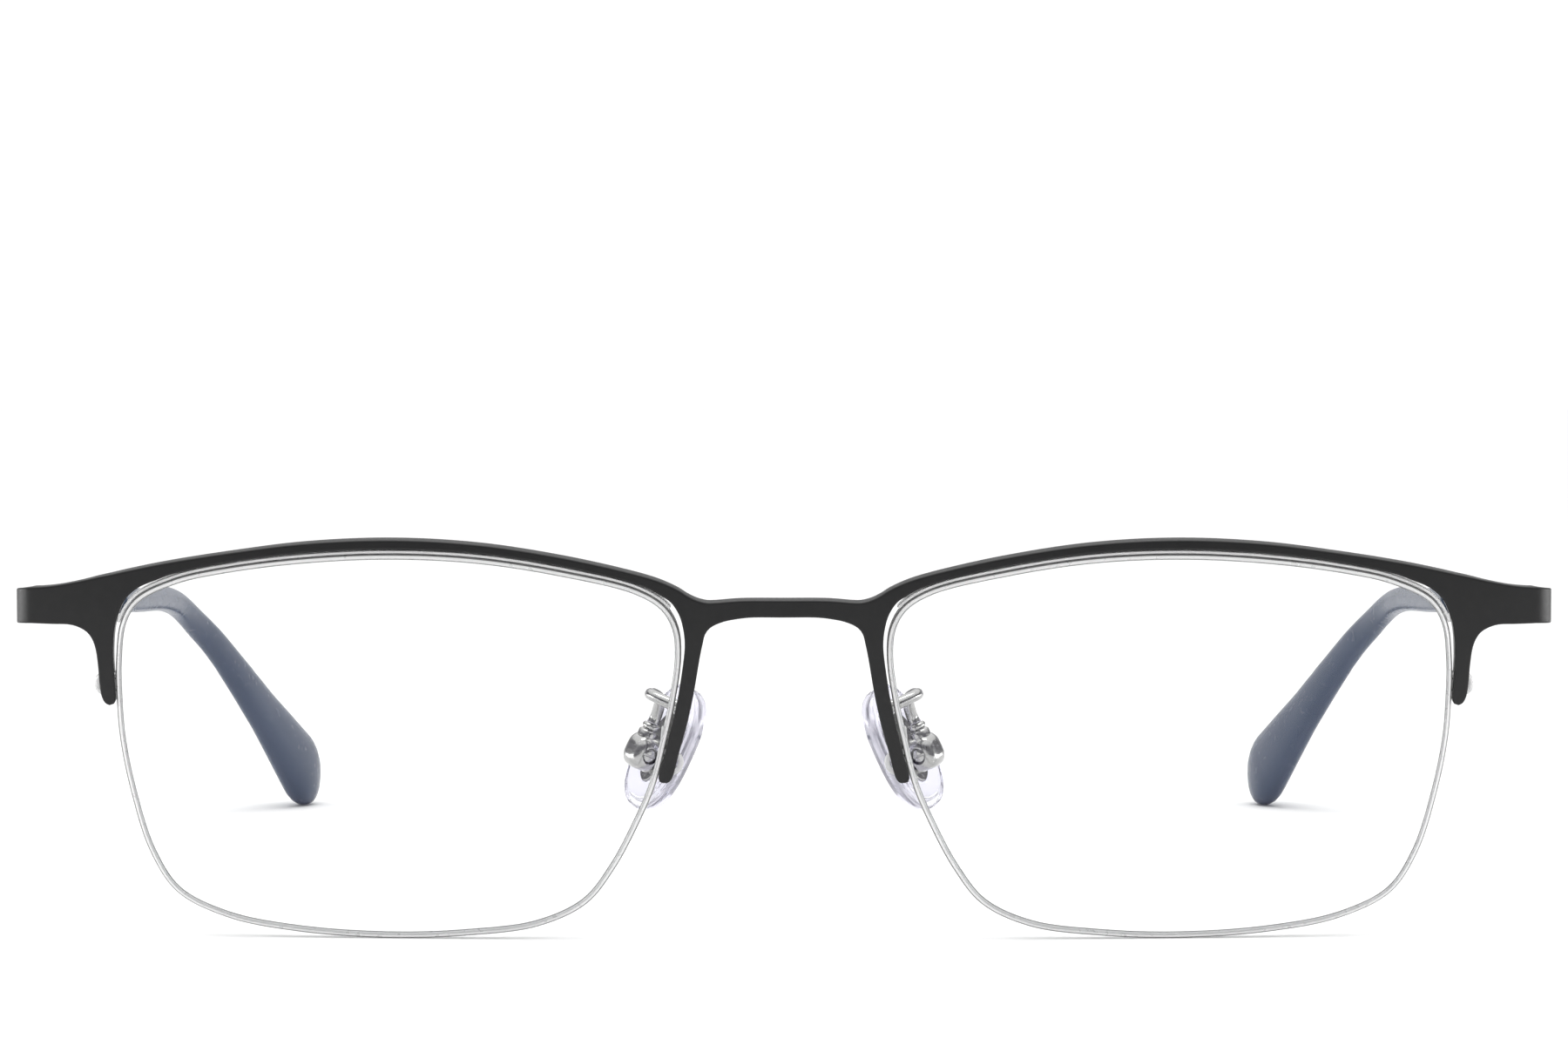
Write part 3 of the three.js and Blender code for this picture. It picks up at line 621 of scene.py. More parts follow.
def pad_silicone():
    """Clear silicone with a lilac tint, slightly frosted where it is moulded matt."""
    material, tree, shader = new_material("pad_silicone")
    shader.inputs["Transmission Weight"].default_value = 0.92
    shader.inputs["IOR"].default_value = 1.38
    cloud = noise(tree, 300, 2)
    tree.links.new(blend_colours(tree, cloud, (0.78, 0.77, 0.87), (0.87, 0.865, 0.93)),
                   shader.inputs["Base Color"])
    tree.links.new(ramp(tree, noise(tree, 2200), 0.05, 0.12), shader.inputs["Roughness"])
    bump(tree, shader, noise(tree, 1800, 2), 2e-6)
    no_shadow(tree, shader, (0.85, 0.84, 0.9))
    return material


def polished_steel(name, tone, rough, stretch=(1, 1, 1)):
    """Nickel-bright steel with fine polishing marks."""
    material, tree, shader = new_material(name)
    shader.inputs["Metallic"].default_value = 1
    marks = noise(tree, 3000, 4, stretch)
    darker = tuple(0.8 * part for part in tone)
    tree.links.new(blend_colours(tree, marks, darker, tone), shader.inputs["Base Color"])
    tree.links.new(ramp(tree, marks, rough, rough + 0.12), shader.inputs["Roughness"])
    bump(tree, shader, marks, 3e-6)
    return material


def navy_acetate():
    """Translucent navy acetate: cloudy layers along the tip, polished outside."""
    material, tree, shader = new_material("navy_acetate")
    shader.inputs["Transmission Weight"].default_value = 0.02
    shader.inputs["IOR"].default_value = 1.48
    shader.inputs["Specular IOR Level"].default_value = 0.15
    layers = noise(tree, 130, 3, (1, 0.4, 1))
    tree.links.new(blend_colours(tree, layers, (0.04, 0.057, 0.087), (0.058, 0.077, 0.115)),
                   shader.inputs["Base Color"])
    tree.links.new(ramp(tree, noise(tree, 1500), 0.24, 0.28), shader.inputs["Roughness"])
    bump(tree, shader, noise(tree, 500, 2), 1e-6)
    return material


# ---- Front frame ----

BROW_TOP = [
    (0, 13.48), (4, 13.46), (6.3, 13.29), (7, 13.29), (7.9, 13.52), (8.8, 13.96), (9.5, 14.42), (11.2, 15.22),
    (13.4, 15.93), (19.7, 17.42), (27.5, 18.64), (35.4, 19.02), (43.3, 18.57), (50.5, 17.5),
    (56, 16.46), (59.5, 15.64), (61.2, 15.2), (62.6, 14.86), (64, 14.49), (66.9, 13.86), (WRAP_START, 13.62),
    (LEG_START, LEG_TOP_HEIGHT), (LEG_END + LEG_BEVEL, LEG_TOP_HEIGHT),
]
# From the end of the endpiece inward: its lower edge, the lug, the brow, the nose limb and the bridge.
UNDERSIDE = [
    (LEG_END - LEG_BEVEL, LEG_UNDER_HEIGHT), (LEG_START, LEG_UNDER_HEIGHT), (WRAP_START, 10.32),
    (66.9, 10.36), (65.25, 10.4), (64.4, 10.22), (63.6, 9.82), (63.1, 9.2), (62.8, 8.4), (62.58, 6.9),
    (62.45, 5.2), (62.25, 3.95), (61.95, 3.4), (61.5, 3.2), (61.1, 3.35), (60.97, 3.8), (61.02, 5.2),
    (61.13, 7.3), (61.1, 8.9), (60.96, 10.25), (60.6, 11.6), (59.9, 13), (58.7, 14.07), (57, 14.85),
    (55.4, 15.47),
    (50.3, 16.68), (43.2, 17.72), (35.4, 18.15), (27.6, 17.84), (19.9, 16.65), (12.6, 14.72), (11, 13.85),
    (10.2, 13.28), (9.45, 12.09), (9.1, 10.8), (8.98, 9.55), (9.06, 8.29), (9.62, 4.49), (10.2, 1.9),
    (10.85, -0.7), (11.38, -2.75), (11.25, -3.1), (10.95, -3.2), (10.55, -3.2), (10.2, -2.9), (9.87, -1.91),
    (9.55, -0.63), (8.84, 1.92), (8.2, 4.8), (7.6, 8.3), (7.35, 9.5), (7.12, 10.4), (6.7, 10.95), (6.1, 11.3),
    (5.4, 11.55), (4.7, 11.7), (3.15, 11.9), (0, 11.92),
]
OUTLINE_STEP = 0.3
EDGE_ROUNDING = 0.15
EDGE_STEPS = 4
FLAT_INSET = EDGE_ROUNDING + 0.05
END_PARTS = 11
# The sheet thins between these, going outward.
THINNING_FROM = 59
THINNING_TO = 65
# Points inside the outline: a line along its middle, and a grid over each endpiece.
MIDDLE_INSET = 0.42
MIDDLE_CLEAR = 0.36
GRID_START = 63
GRID_STEP = 0.4
GRID_HEIGHTS = (11, 11.45, 11.9, 12.35, 12.8)
# A point this close to one of the last few is left out.
GRID_CLEAR = 0.2
LAST_FEW = 60

# Holes that a lens cord is threaded through: their middle and how they turn from level.
CORD_HOLES = [((10.15, -0.62), 13), ((10.6, -2.35), 5), ((61.75, 4.2), 0), ((61.8, 5.84), 0)]
CORD_HOLE_RADIUS = 0.42
CORD_HOLE_REACH = 1.5


def flat(points):
    return [Vector((x, y, 0)) for x, y in points]


def front_outline(spacing):
    top = spline(flat(BROW_TOP), spacing)
    end = [top[-1].lerp(Vector((*UNDERSIDE[0], 0)), k / END_PARTS) for k in range(1, END_PARTS)]
    half = [*top, *end, *spline(flat(UNDERSIDE), spacing)]
    return half + [Vector((-p.x, p.y, 0)) for p in reversed(half[1:-1])]


def inset(ring, amount):
    """A clockwise ring moved inward."""
    moved_ring = []
    for k, point in enumerate(ring):
        along = (ring[(k + 1) % len(ring)] - ring[k - 1]).normalized()
        moved_ring.append(point + Vector((along.y, -along.x, 0)) * amount)
    return moved_ring


def inner_points(outline):
    """Points inside the outline that keep the faces small, along its middle and over the endpieces."""
    tree = kdtree.KDTree(len(outline))
    for k, point in enumerate(outline):
        tree.insert(point, k)
    tree.balance()
    made = [p for p in inset(outline, MIDDLE_INSET)[::2] if tree.find(p)[2] > MIDDLE_CLEAR]
    for k in range(round((LEG_END - GRID_START) / GRID_STEP)):
        for height in GRID_HEIGHTS:
            made += [Vector((side * (GRID_START + GRID_STEP * k), height, 0)) for side in (-1, 1)]
    kept = []
    for point in made:
        apart = [max(abs(point.x - other.x), abs(point.y - other.y)) for other in kept[-LAST_FEW:]]
        if all(distance > GRID_CLEAR for distance in apart):
            kept.append(point)
    return kept


def front_thickness(across):
    return RIM_DEPTH + (PLATE - RIM_DEPTH) * smoothstep(abs(across), THINNING_FROM, THINNING_TO)


def front_frame():
    """The sheet, its edges rounded: rings round the outline, closed by a front and a back skin."""
    outline = front_outline(OUTLINE_STEP)
    r = EDGE_ROUNDING
    turns = [math.pi / 2 * k / EDGE_STEPS for k in range(EDGE_STEPS + 1)]
    levels = [(FLAT_INSET, 0), *[(r * (1 - math.sin(t)), r * (1 - math.cos(t))) for t in turns]]
    rings = []
    for amount, behind in levels:
        rings.append([on_front(p.x, p.y, behind) for p in inset(outline, amount)])
    for amount, behind in reversed(levels):
        rings.append([on_front(p.x, p.y, front_thickness(p.x) - behind) for p in inset(outline, amount)])
    border = inset(outline, FLAT_INSET)
    count = len(border)
    flat_points = [p.to_2d() for p in [*border, *inner_points(outline)]]
    found = geometry.delaunay_2d_cdt(flat_points, [], [list(range(count))], 1, 1e-5)
    spots, triangles, sources = found[0], found[2], found[3]
    made = bmesh.new()
    placed = [[made.verts.new(p) for p in ring] for ring in rings]
    for here, there in zip(placed, placed[1:]):
        for k in range(count):
            m = (k + 1) % count
            made.faces.new((here[k], here[m], there[m], there[k]))
    for ring, back in ((placed[0], False), (placed[-1], True)):
        caps = []
        for spot, source in zip(spots, sources):
            behind = front_thickness(spot.x) if back else 0
            on_border = source and source[0] < count
            caps.append(ring[source[0]] if on_border else made.verts.new(on_front(spot.x, spot.y, behind)))
        for corners in triangles:
            made.faces.new([caps[k] for k in corners])
    bmesh.ops.delete(made, geom=[v for v in made.verts if not v.link_faces], context="VERTS")
    bmesh.ops.recalc_face_normals(made, faces=made.faces)
    return cut(made, *cord_holes())


def cord_holes():
    holes = []
    for side in (-1, 1):
        for (across, height), turn in CORD_HOLES:
            middle = on_front(side * across, height, LENS_THICKNESS / 2)
            slope = math.atan(surface(across, height)[1]) * side
            turned = Matrix.Rotation(slope, 4, "Y") @ Matrix.Rotation(side * math.radians(turn), 4, "Z")
            level = turned @ Matrix.Rotation(math.pi / 2, 4, "Y")
            hole = drum(CORD_HOLE_RADIUS, -CORD_HOLE_REACH, CORD_HOLE_REACH, FINE_CHAMFER, 32)
            holes.append(moved(hole, Matrix.Translation(middle) @ level))
    return holes


# ---- Lens, liner and cord ----

LENS_OUTLINE = [
    (60.85, 4), (60.85, 7.5), (60.38, 10.9), (59, 13.1), (55.3, 15.02), (50.2, 16.27), (43, 17.3),
    (35.4, 17.74), (27.7, 17.43), (20, 16.24), (13.2, 14.5), (10.68, 12.9), (9.55, 10.9), (9.3, 8.3),
    (9.8, 4.5), (10.62, 0.7), (11.6, -3.2), (13, -6.6), (15.4, -11.2), (18, -14.5), (22.4, -16.6),
    (29, -17.5), (36, GROUND_HEIGHT), (44.5, -17.4), (51, -16.3), (55.6, -14.1), (58, -10.4), (59.7, -4.7),
    (60.6, 0.2),
]
LENS_STEP = 0.6
GROOVE_RADIUS = 0.27
GROOVE_MIDDLE = 0.33
GROOVE_DEPTH = GROOVE_MIDDLE + GROOVE_RADIUS
GROOVE_PARTS = 8
# The rim and the groove's floor are ground, and carry the dark grey of painted shade, this far in or out from
# their ends.
SHADED_LINE_WIDTH = 0.1
# The front bevel of the lens's edge: how far inside the outline, and how far behind the front surface.
BEVEL = [
    (0.9, 0), (0.4, 0), (0.34, 0), (0.3, 0.01), (0.12, 0.16), (0.03, 0.26), (0, 0.3), (0, 0.64), (0.03, 0.67),
]
# Each face of the lens has rings at these shares of the way from its middle to its border.
LENS_SHARES = (0.9, 0.78, 0.64, 0.5, 0.36, 0.22, 0.1)
# The liner and the cord run between places counted in the outline's given points.
LINER_FROM = 1.95
LINER_TO = 11.15
LINER_PARTS = 240
LINER_INSET = -0.2
LINER_DEPTH = 1.5
LINER_THICKNESS = 0.3
CORD_INSET = 0.2
CORD_RADIUS = 0.25
CORD_FROM = 16.35
CORD_TO = 28.5
CORD_PARTS = 26
CORD_AT_LIMB = [
    (10.85, 2), (11, 0.6), (11.08, -0.1), (10.8, -0.47), (10.15, -0.62), (9.55, -0.85), (9.36, -1.25),
    (9.45, -1.85), (9.85, -2.3), (10.6, -2.35), (11.45, -2.34), (11.85, -2.75),
]
CORD_AT_LUG = [
    (60.55, 3), (60.75, 3.85), (61.1, 4.17), (62.3, 4.2), (62.7, 4.5), (62.79, 5), (62.7, 5.5), (62.3, 5.82),
    (61.1, 5.87), (60.75, 6.2), (60.58, 6.9), (60.55, 8),
]
TOWARDS_EYE = Vector((0, 0, 1))


def outline_at(turn):
    """A point of the lens's outline, counted in its given points, and the direction along it."""
    knots = flat(LENS_OUTLINE)
    k, u = int(turn), turn % 1
    near = [knots[(k + ahead) % len(knots)] for ahead in (-1, 0, 1, 2)]
    step = 0.01
    return between(*near, u), (between(*near, u + step) - between(*near, u - step)).normalized()


def outline_stretch(start, end, inside, count):
    points = []
    for k in range(count + 1):
        at, along = outline_at(start + (end - start) * k / count)
        points.append(at + Vector((-along.y, along.x, 0)) * inside)
    return points


def lens_edge():
    """How far inside the outline and behind the front surface: a bevel, the cord's groove and a bevel."""
    groove = []
    for k in range(GROOVE_PARTS + 1):
        turn = math.pi * (k / GROOVE_PARTS - 0.5)
        groove.append((GROOVE_MIDDLE + GROOVE_RADIUS * math.cos(turn),
                       LENS_THICKNESS / 2 + GROOVE_RADIUS * math.sin(turn)))
    back = [(amount, LENS_THICKNESS - behind) for amount, behind in reversed(BEVEL)]
    return [*BEVEL, *groove, *back]


def edge_finish(here, there):
    """Which material the strip between two (inside, behind) points has: 0 clear, 1 ground with painted shade,
    2 frosted.
    """
    if here[1] == there[1]:
        return 0
    inside = (here[0] + there[0]) / 2
    return 1 if inside < SHADED_LINE_WIDTH or inside > GROOVE_DEPTH - SHADED_LINE_WIDTH else 2


def lens():
    rings = []
    clockwise = list(reversed(spline(flat(LENS_OUTLINE), LENS_STEP, closed=True)))
    middle = Vector((LENS_MIDDLE, 0, 0))
    border = inset(clockwise, BEVEL[0][0])
    for share in reversed(LENS_SHARES):
        rings.append([on_front(*middle.lerp(p, share).to_2d(), 0) for p in border])
    for amount, behind in lens_edge():
        rings.append([on_front(p.x, p.y, behind) for p in inset(clockwise, amount)])
    for share in LENS_SHARES:
        rings.append([on_front(*middle.lerp(p, share).to_2d(), LENS_THICKNESS) for p in border])
    made = loft(rings)
    made.faces.ensure_lookup_table()
    edge = lens_edge()
    for k, (here, there) in enumerate(zip(edge, edge[1:]), len(LENS_SHARES)):
        for face in made.faces[k * len(border):(k + 1) * len(border)]:
            face.material_index = edge_finish(here, there)
    return made


def rim_liner():
    """The strip between the lens's upper edge and the brow."""
    line = outline_stretch(LINER_FROM, LINER_TO, LINER_INSET, LINER_PARTS)
    path = [on_front(p.x, p.y, RIM_DEPTH / 2) for p in line]
    section = superellipse(LINER_DEPTH / 2, LINER_THICKNESS / 2, power=0.4, count=24)
    return sweep(path, lambda t: section, TOWARDS_EYE, rounding=(0.1, 0.1), spacing=0.4)


def lens_cord():
    """Through the limb's two holes, round the groove, and through the lug's two holes."""
    lower_edge = outline_stretch(CORD_FROM, CORD_TO, CORD_INSET, CORD_PARTS)
    route = [*flat(CORD_AT_LIMB), *lower_edge, *flat(CORD_AT_LUG)]
    path = spline([on_front(p.x, p.y, LENS_THICKNESS / 2) for p in route], spacing=0.12)
    section = superellipse(CORD_RADIUS, CORD_RADIUS, power=1, count=16)
    return sweep(path, lambda t: section, TOWARDS_EYE, rounding=(0.1, 0.1), spacing=0.15)


# ---- Nose pads: x towards the nose, y up along the pad, z back across its width ----

PAD_BACK = -PAD_THICKNESS / 2
# The dome that rests on the nose: x at its edge, how far it rises, and how its curve falls off.
DOME_EDGE = 0.55
DOME_RISE = 0.45
DOME_POWER = 2.6
DOME_INSET = 0.35
DOME_PARTS = 12
# The pad's edge, from its dome round to the step on its back: x, and how far inside its outline.
PAD_EDGE = [
    (0.68, 0.24), (0.58, 0.12), (0.45, 0.04), (0.3, 0), (-0.45, 0), (-0.58, 0.03), (-0.68, 0.13),
    (-0.72, 0.28), (-0.73, 0.62), (-0.76, 0.72), (-0.84, 0.8), (-0.95, 0.88), (-0.99, 0.97), (-1, 1.15),
]
# The pocket for the core: x, and how far outside its outline.
PAD_POCKET = [(-1, 0.12), (-0.98, 0.04), (-0.93, 0), (-0.45, 0), (-0.4, -0.05), (-0.4, -1.7)]
CORE_LENGTH = 7
CORE_WIDTH = 3.8
CORE_THICKNESS = 0.5
TANG_HEIGHT = 1.5
TANG_WIDTH = 1
TANG_REACH = 1.9
CORE_GAP = 0.1
CORE_LIFT = 0.02
CORE_SQUARENESS = 1.08
# How the core's plate rounds off on its two faces: distance from the face, and how far inside.
CORE_NEAR = [(0, 0.15), (0.1, 0.03), (0.2, 0)]
CORE_FAR = [(0.12, 0), (0, 0.12)]
TANG_ROUNDING = 0.25
HOLLOW_ROOM_HEIGHT = 0.4
HOLLOW_ROOM_WIDTH = 0.2
BOX_Y = -1
BOX_GAP = 0.3
BOX_DEPTH = 2.4
BOX_HEIGHT = 3.3
BOX_WIDTH = 3.1
BOX_FACE = PAD_BACK - BOX_GAP
BOX_SQUARENESS = 0.72
# How the box rounds off towards the pad and away from it: distance from its end, and how far inside.
BOX_NEAR = [(0, 0.32), (0.04, 0.2), (0.12, 0.09), (0.22, 0.02), (0.35, 0)]
BOX_FAR = [(0, 1), (0.03, 0.85), (0.12, 0.6), (0.28, 0.36), (0.5, 0.16), (0.8, 0.04), (1.1, 0)]
HOLLOW_DEPTH = 1.75
SCREW_X = BOX_FACE - 0.95
SCREW_RADIUS = 0.36
SCREW_GAP = 0.06
SCREW_HEAD = 0.68
HEAD_SEAT = 0.78
# The collar that the pad's wire stands in: radius and height.
COLLAR = [
    (0, 0), (0.9, 0), (0.95, 0.05), (0.95, 0.5), (0.9, 0.6), (0.75, 0.7), (0.7, 0.76), (0.75, 0.82),
    (0.83, 0.92), (0.86, 1.02), (0.86, 1.14), (0.82, 1.23), (0.72, 1.32), (0.62, 1.35), (0, 1.35),
]
COLLAR_X = SCREW_X - 0.3
COLLAR_Y = BOX_Y + BOX_HEIGHT / 2 - 0.25
ALONG_PAD = Matrix.Rotation(-math.pi / 2, 4, "X")
BACKWARD = Vector((0, 1, 0))
# The wire from the nose limb to the collar: across, behind the front, and up from the ground.
ARM_ROUTE = [
    (9.05, -0.72, 20.95), (10.05, -0.35, 21.4), (11.25, 0.15, 21.92), (12.05, 0.8, 22.25), (12.25, 1.7, 22.3),
    (11.9, 2.6, 22.2), (11.45, 3.15, 21.75),
]


def pad_rings(profile, power=1, sides=72):
    """Ovals across the pad from (x, half width, half length) rows."""
    rings = []
    for x, width, length in profile:
        rings.append([Vector((x, b, a)) for a, b in superellipse(width, length, power, sides)])
    return rings


def nose_pad():
    half_width, half_length = PAD_WIDTH / 2, PAD_LENGTH / 2
    pocket_width, pocket_length = CORE_WIDTH / 2 + CORE_GAP, CORE_LENGTH / 2 + CORE_GAP
    profile = []
    for k in range(1, DOME_PARTS):
        share = k / DOME_PARTS
        dome = DOME_EDGE + DOME_RISE * math.sqrt(1 - share ** DOME_POWER)
        profile.append((dome, (half_width - DOME_INSET) * share, (half_length - DOME_INSET) * share))
    for x, inside in PAD_EDGE:
        profile.append((x, half_width - inside, half_length - inside))
    pocket = [(x, pocket_width + outside, pocket_length + outside) for x, outside in PAD_POCKET]
    return loft(pad_rings(profile, PAD_SQUARENESS) + pad_rings(pocket))


def pad_core():
    rows = [(PAD_BACK + CORE_LIFT + step, inside) for step, inside in CORE_NEAR]
    rows += [(PAD_BACK + CORE_THICKNESS - step, inside) for step, inside in CORE_FAR]
    profile = [(x, CORE_WIDTH / 2 - inside, CORE_LENGTH / 2 - inside) for x, inside in rows]
    plate = loft(pad_rings(profile, CORE_SQUARENESS))
    tang = block((PAD_BACK - TANG_REACH, BOX_Y - TANG_HEIGHT / 2, -TANG_WIDTH / 2),
                 (PAD_BACK + 0.2, BOX_Y + TANG_HEIGHT / 2, TANG_WIDTH / 2), TANG_ROUNDING)
    return cut(join(plate, tang), screw_bore(SCREW_RADIUS + SCREW_GAP, 2 * BOX_WIDTH))


def screw_bore(radius, length, shift=0):
    bore = drum(radius, -length / 2, length / 2, FINE_CHAMFER)
    return moved(bore, Matrix.Translation((SCREW_X, BOX_Y, shift)))


def pad_box():
    rows = [(BOX_FACE - step, inside) for step, inside in BOX_NEAR]
    rows += [(BOX_FACE - BOX_DEPTH + step, inside) for step, inside in reversed(BOX_FAR)]
    profile = [(x, BOX_WIDTH / 2 - inside, BOX_HEIGHT / 2 - inside) for x, inside in rows]
    body = moved(loft(pad_rings(profile, BOX_SQUARENESS)), Matrix.Translation((0, BOX_Y, 0)))
    collar = moved(lathe(COLLAR, 48), Matrix.Translation((COLLAR_X, COLLAR_Y, 0)) @ ALONG_PAD)
    half_height = TANG_HEIGHT / 2 + HOLLOW_ROOM_HEIGHT
    half_width = TANG_WIDTH / 2 + HOLLOW_ROOM_WIDTH
    hollow = block((BOX_FACE - HOLLOW_DEPTH, BOX_Y - half_height, -half_width),
                   (BOX_FACE + 1, BOX_Y + half_height, half_width), TANG_ROUNDING)
    seat = screw_bore(HEAD_SEAT, 1, -BOX_WIDTH / 2)
    return cut(join(body, collar), hollow, screw_bore(SCREW_RADIUS + SCREW_GAP, 2 * BOX_WIDTH), seat)


def pad_screw():
    end = BOX_WIDTH / 2 - 0.1
    head = BOX_WIDTH / 2 - 0.42
    dome = [(0, 1.46), (0.35, 1.44), (0.55, 1.38), (0.64, 1.31), (SCREW_HEAD, 1.24), (SCREW_HEAD, head)]
    profile = [(radius, -height) for radius, height in dome]
    profile += [(SCREW_RADIUS, -head), (SCREW_RADIUS, end - 0.1), (SCREW_RADIUS - 0.1, end)]
    screw = lathe(profile, 48)
    slot = block((-1, -0.11, -2), (1, 0.11, -1.28), 0.02, 1)
    return moved(cut(screw, slot), Matrix.Translation((SCREW_X, BOX_Y, 0)))


def pad_arm():
    """The bent wire, from the nose limb down into the collar."""
    route = [Vector((x, FRONT_Y + behind, z)) for x, behind, z in ARM_ROUTE]
    route += [PAD @ Vector((COLLAR_X, COLLAR_Y + above, 0)) for above in (2, 1.4)]
    path = spline(route, spacing=0.12)
    section = superellipse(WIRE_RADIUS, WIRE_RADIUS, power=1, count=28)
    return sweep(path, lambda t: section, BACKWARD, rounding=(WIRE_RADIUS, 0.05), spacing=0.2)


# ---- Hinge: x outward, y back along the temple, z up along the screw ----

HINGE_BORE = 0.66
HINGE_PIN = 0.6
KNUCKLE = HINGE_HEIGHT / 3 - 0.06
LEAF_THICKNESS = 0.55
LEAF_GAP = 0.05
LEAF_NEAR = HINGE_RADIUS + 0.25
LEAF_FAR = 4.4
LEAF_ROUNDING = 0.12
WEB_LENGTH = 1.9
HEAD_RADIUS = 0.84
HEAD_HEIGHT = 0.4
HEAD_GAP = 0.06
LEAF_FACE = AXIS_INSIDE - LEAF_GAP


def knuckle_solids(low, high, direction):
    """A knuckle, and the block that ties it to its leaf."""
    ends = sorted((0, direction * WEB_LENGTH))
    return [drum(HINGE_RADIUS, low, high, 0.07),
            block((0.05, ends[0], low), (LEAF_FACE - 0.02, ends[1], high), 0.06, 2)]


def leaf_plate(direction):
    ends = sorted((direction * LEAF_NEAR, direction * LEAF_FAR))
    return block((LEAF_FACE - LEAF_THICKNESS, ends[0], -HINGE_HEIGHT / 2),
                 (LEAF_FACE, ends[1], HINGE_HEIGHT / 2), LEAF_ROUNDING)


def hinge_front_leaf():
    top = HINGE_HEIGHT / 2
    solids = [*knuckle_solids(top - KNUCKLE, top, -1), *knuckle_solids(-top, -top + KNUCKLE, -1)]
    bore = drum(HINGE_BORE, -HINGE_HEIGHT, HINGE_HEIGHT, FINE_CHAMFER)
    seat = drum(HEAD_RADIUS + HEAD_GAP, top - HEAD_HEIGHT - HEAD_GAP, top + 1, FINE_CHAMFER)
    return cut(join(leaf_plate(-1), *solids), bore, seat)


def hinge_temple_leaf():
    half = KNUCKLE / 2
    solid = join(leaf_plate(1), *knuckle_solids(-half, half, 1))
    return cut(solid, drum(HINGE_BORE, -HINGE_HEIGHT, HINGE_HEIGHT, FINE_CHAMFER))


def hinge_screw():
    """The pin with its head, which has a slot."""
    top = HINGE_HEIGHT / 2
    profile = [(HINGE_PIN - 0.08, 0.05 - top), (HINGE_PIN, 0.15 - top), (HINGE_PIN, top - HEAD_HEIGHT),
               (HEAD_RADIUS, top - HEAD_HEIGHT), (HEAD_RADIUS, top - 0.12), (HEAD_RADIUS - 0.05, top - 0.05),
               (HEAD_RADIUS - 0.15, top - 0.01), (0, top)]
    return cut(lathe(profile, 48), block((-1, -0.14, top - 0.14), (1, 0.14, top + 0.5), 0.02, 1))


# ---- Temples ----

ARM_X = AXIS_INSIDE + ARM_THICKNESS / 2
TEMPLE_LINE = [
    (ARM_X, BUTT_GAP, 0), (ARM_X, 30, 0), (ARM_X, 60, 0), (ARM_X, 80, -0.1), (1.65, 87.5, -0.9),
    (0.75, 93, -2.7), (-0.8, 98.2, -5.3), (-2.6, 103.8, -8.9), (-4.9, 111, -13.8), (-7, 118, -18.5),
    (-8.5, 123.8, -22.12),
]
SLEEVE_START = 46
ARM_END = SLEEVE_START - 0.3
ARM_END_THICKNESS = 1
ARM_END_HEIGHT = 2.1
# The sleeve's height and thickness, at shares of its length.
SLEEVE_HEIGHT = [(0, 2.5), (0.3, 2.6), (0.5, 2.8), (0.65, 3.7), (0.8, 5.6), (0.9, 7.6), (1, 9.6)]
SLEEVE_THICKNESS = [(0, 2), (0.3, 2.1), (0.6, 2.3), (0.8, 3), (0.9, 3.8), (1, 4.4)]
SLEEVE_SQUARENESS = 0.85
SLEEVE_END = 5.6
CORE_HALF_WIDTH = 0.42
CORE_HALF_HEIGHT = 0.55
CORE_CHANNEL = 0.1
CORE_REACH = 6
OUTWARD = Vector((1, 0, 0))


def temple_arm():
    """The flat bar, tapering from the hinge to the sleeve, with the core wire running on from its end."""
    def section(t):
        thickness = ARM_THICKNESS + (ARM_END_THICKNESS - ARM_THICKNESS) * t
        height = HINGE_HEIGHT + (ARM_END_HEIGHT - HINGE_HEIGHT) * t
        return superellipse(thickness / 2, height / 2, power=0.3, count=40)
    path = [Vector((ARM_X, y, 0)) for y in (BUTT_GAP, 20, ARM_END)]
    bar = sweep(path, section, OUTWARD, rounding=(0.15, 0.15), spacing=1)
    wire = superellipse(CORE_HALF_WIDTH, CORE_HALF_HEIGHT, power=1, count=20)
    core = [Vector((ARM_X, y, 0)) for y in (ARM_END - 2, 50, SLEEVE_START + CORE_REACH)]
    return join(bar, sweep(core, lambda t: wire, OUTWARD, rounding=(0, 0.3), spacing=1))


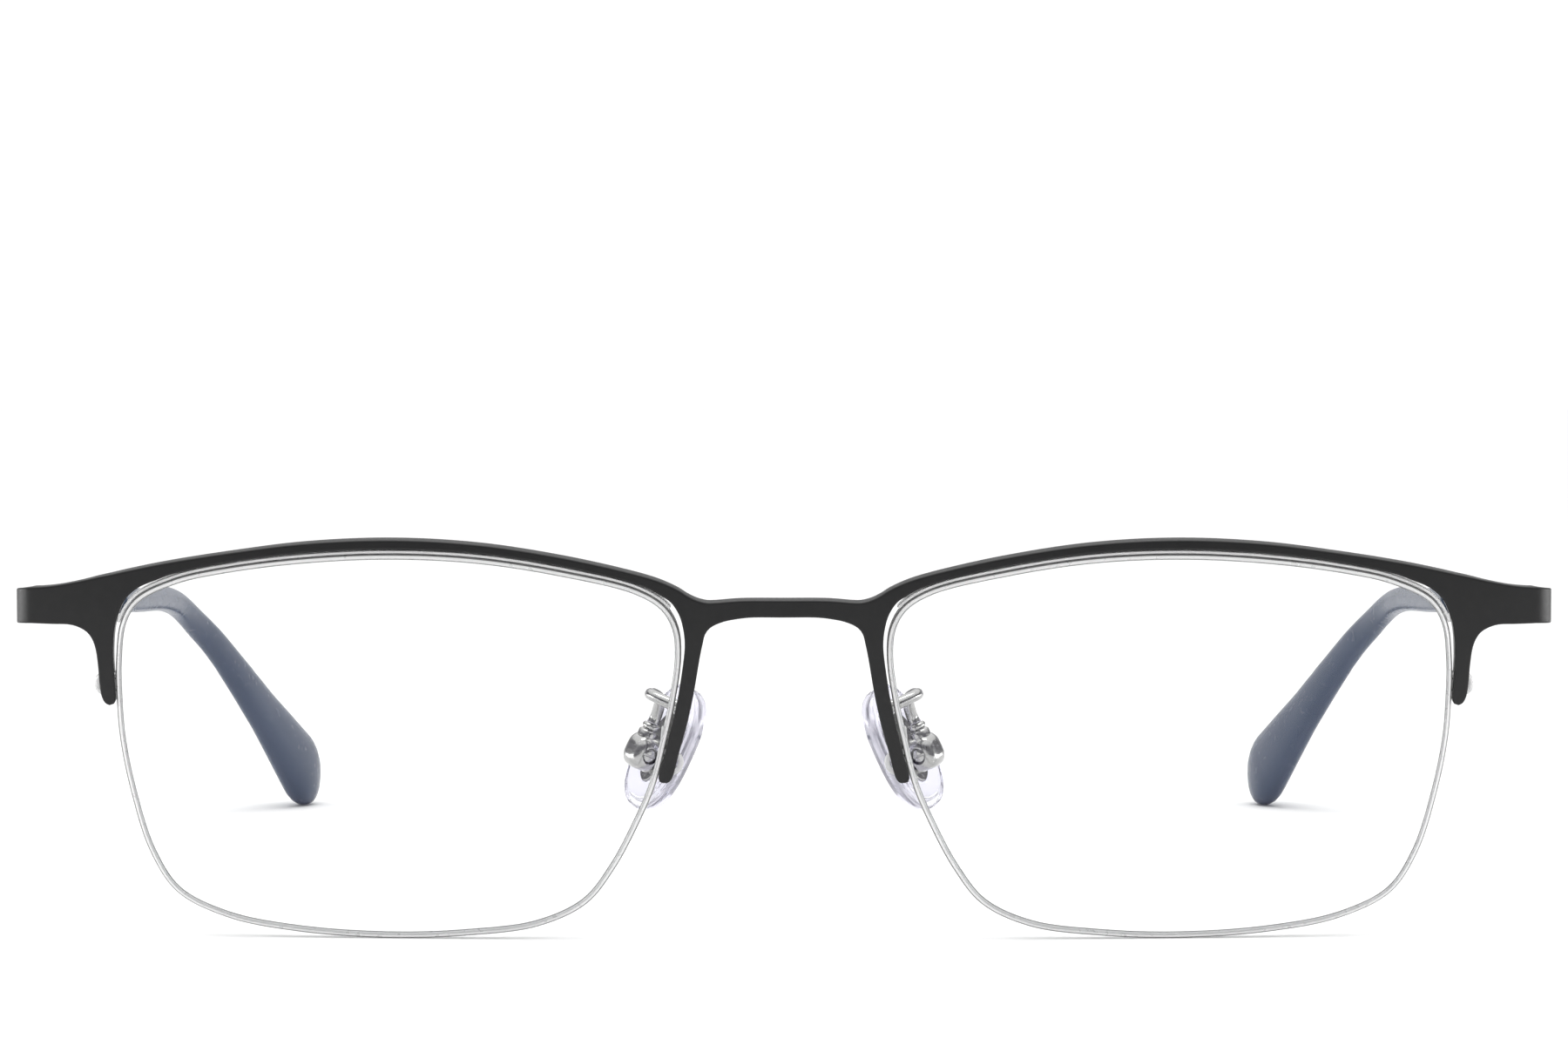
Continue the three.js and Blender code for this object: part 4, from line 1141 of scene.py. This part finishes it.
def temple_tip():
    """The sleeve, thicker towards its end, with a channel for the core wire."""
    def section(t):
        thickness, height = value_at(SLEEVE_THICKNESS, t), value_at(SLEEVE_HEIGHT, t)
        return superellipse(thickness / 2, height / 2, SLEEVE_SQUARENESS, count=48)
    path = spline([(ARM_X, SLEEVE_START, 0), *[p for p in TEMPLE_LINE if p[1] > SLEEVE_START]], spacing=0.5)
    body = sweep(path, section, OUTWARD, rounding=(0.25, SLEEVE_END), spacing=0.8)
    channel = superellipse(CORE_HALF_WIDTH + CORE_CHANNEL, CORE_HALF_HEIGHT + CORE_CHANNEL, power=1, count=20)
    ends = [Vector((ARM_X, SLEEVE_START + step, 0)) for step in (-1, 2, CORE_REACH + 0.3)]
    return cut(body, sweep(ends, lambda t: channel, OUTWARD, spacing=1))


# ---- Assembly ----

bpy.context.scene.view_settings.view_transform = "Standard"
make_camera()
make_world()
make_floor()
make_lights()

paint = black_paint()
clear = lens_plastic()
steel = polished_steel("polished_steel", (0.48, 0.48, 0.47), 0.16)
brushed = polished_steel("brushed_steel", (0.42, 0.42, 0.42), 0.24, (1, 0.15, 1))
navy = navy_acetate()

piece("front_frame_skin", front_frame(), "front", [paint], FRONT, replaces="front_frame")
# The lens's second material is dark grey painted shade along its rim and the groove's floor.
pair("lens", lens, "front", [clear, painted_shade_edge(), frosted_edge()], FRONT)
pair("rim_liner", rim_liner, "front", [clear_nylon("liner_nylon", (0.9, 0.9, 0.9))], FRONT)
pair("lens_cord", lens_cord, "front", [clear_nylon("cord_nylon", (0.88, 0.88, 0.88))], FRONT)
pair("nose_pad", nose_pad, "pad_{side}", [pad_silicone()], PAD)
pair("pad_core", pad_core, "pad_{side}", [steel], PAD)
pair("pad_box", pad_box, "front", [steel], PAD)
pair("pad_screw", pad_screw, "front", [steel], PAD)
pair("pad_arm", pad_arm, "front", [steel])
pair("hinge_front_leaf", hinge_front_leaf, "front", [brushed], HINGE)
pair("hinge_temple_leaf", hinge_temple_leaf, "temple_{side}", [brushed], HINGE)
pair("hinge_screw", hinge_screw, "front", [steel], HINGE)
pair("temple_arm", temple_arm, "temple_{side}", [paint], HINGE)
pair("temple_tip", temple_tip, "temple_{side}", [navy], HINGE)
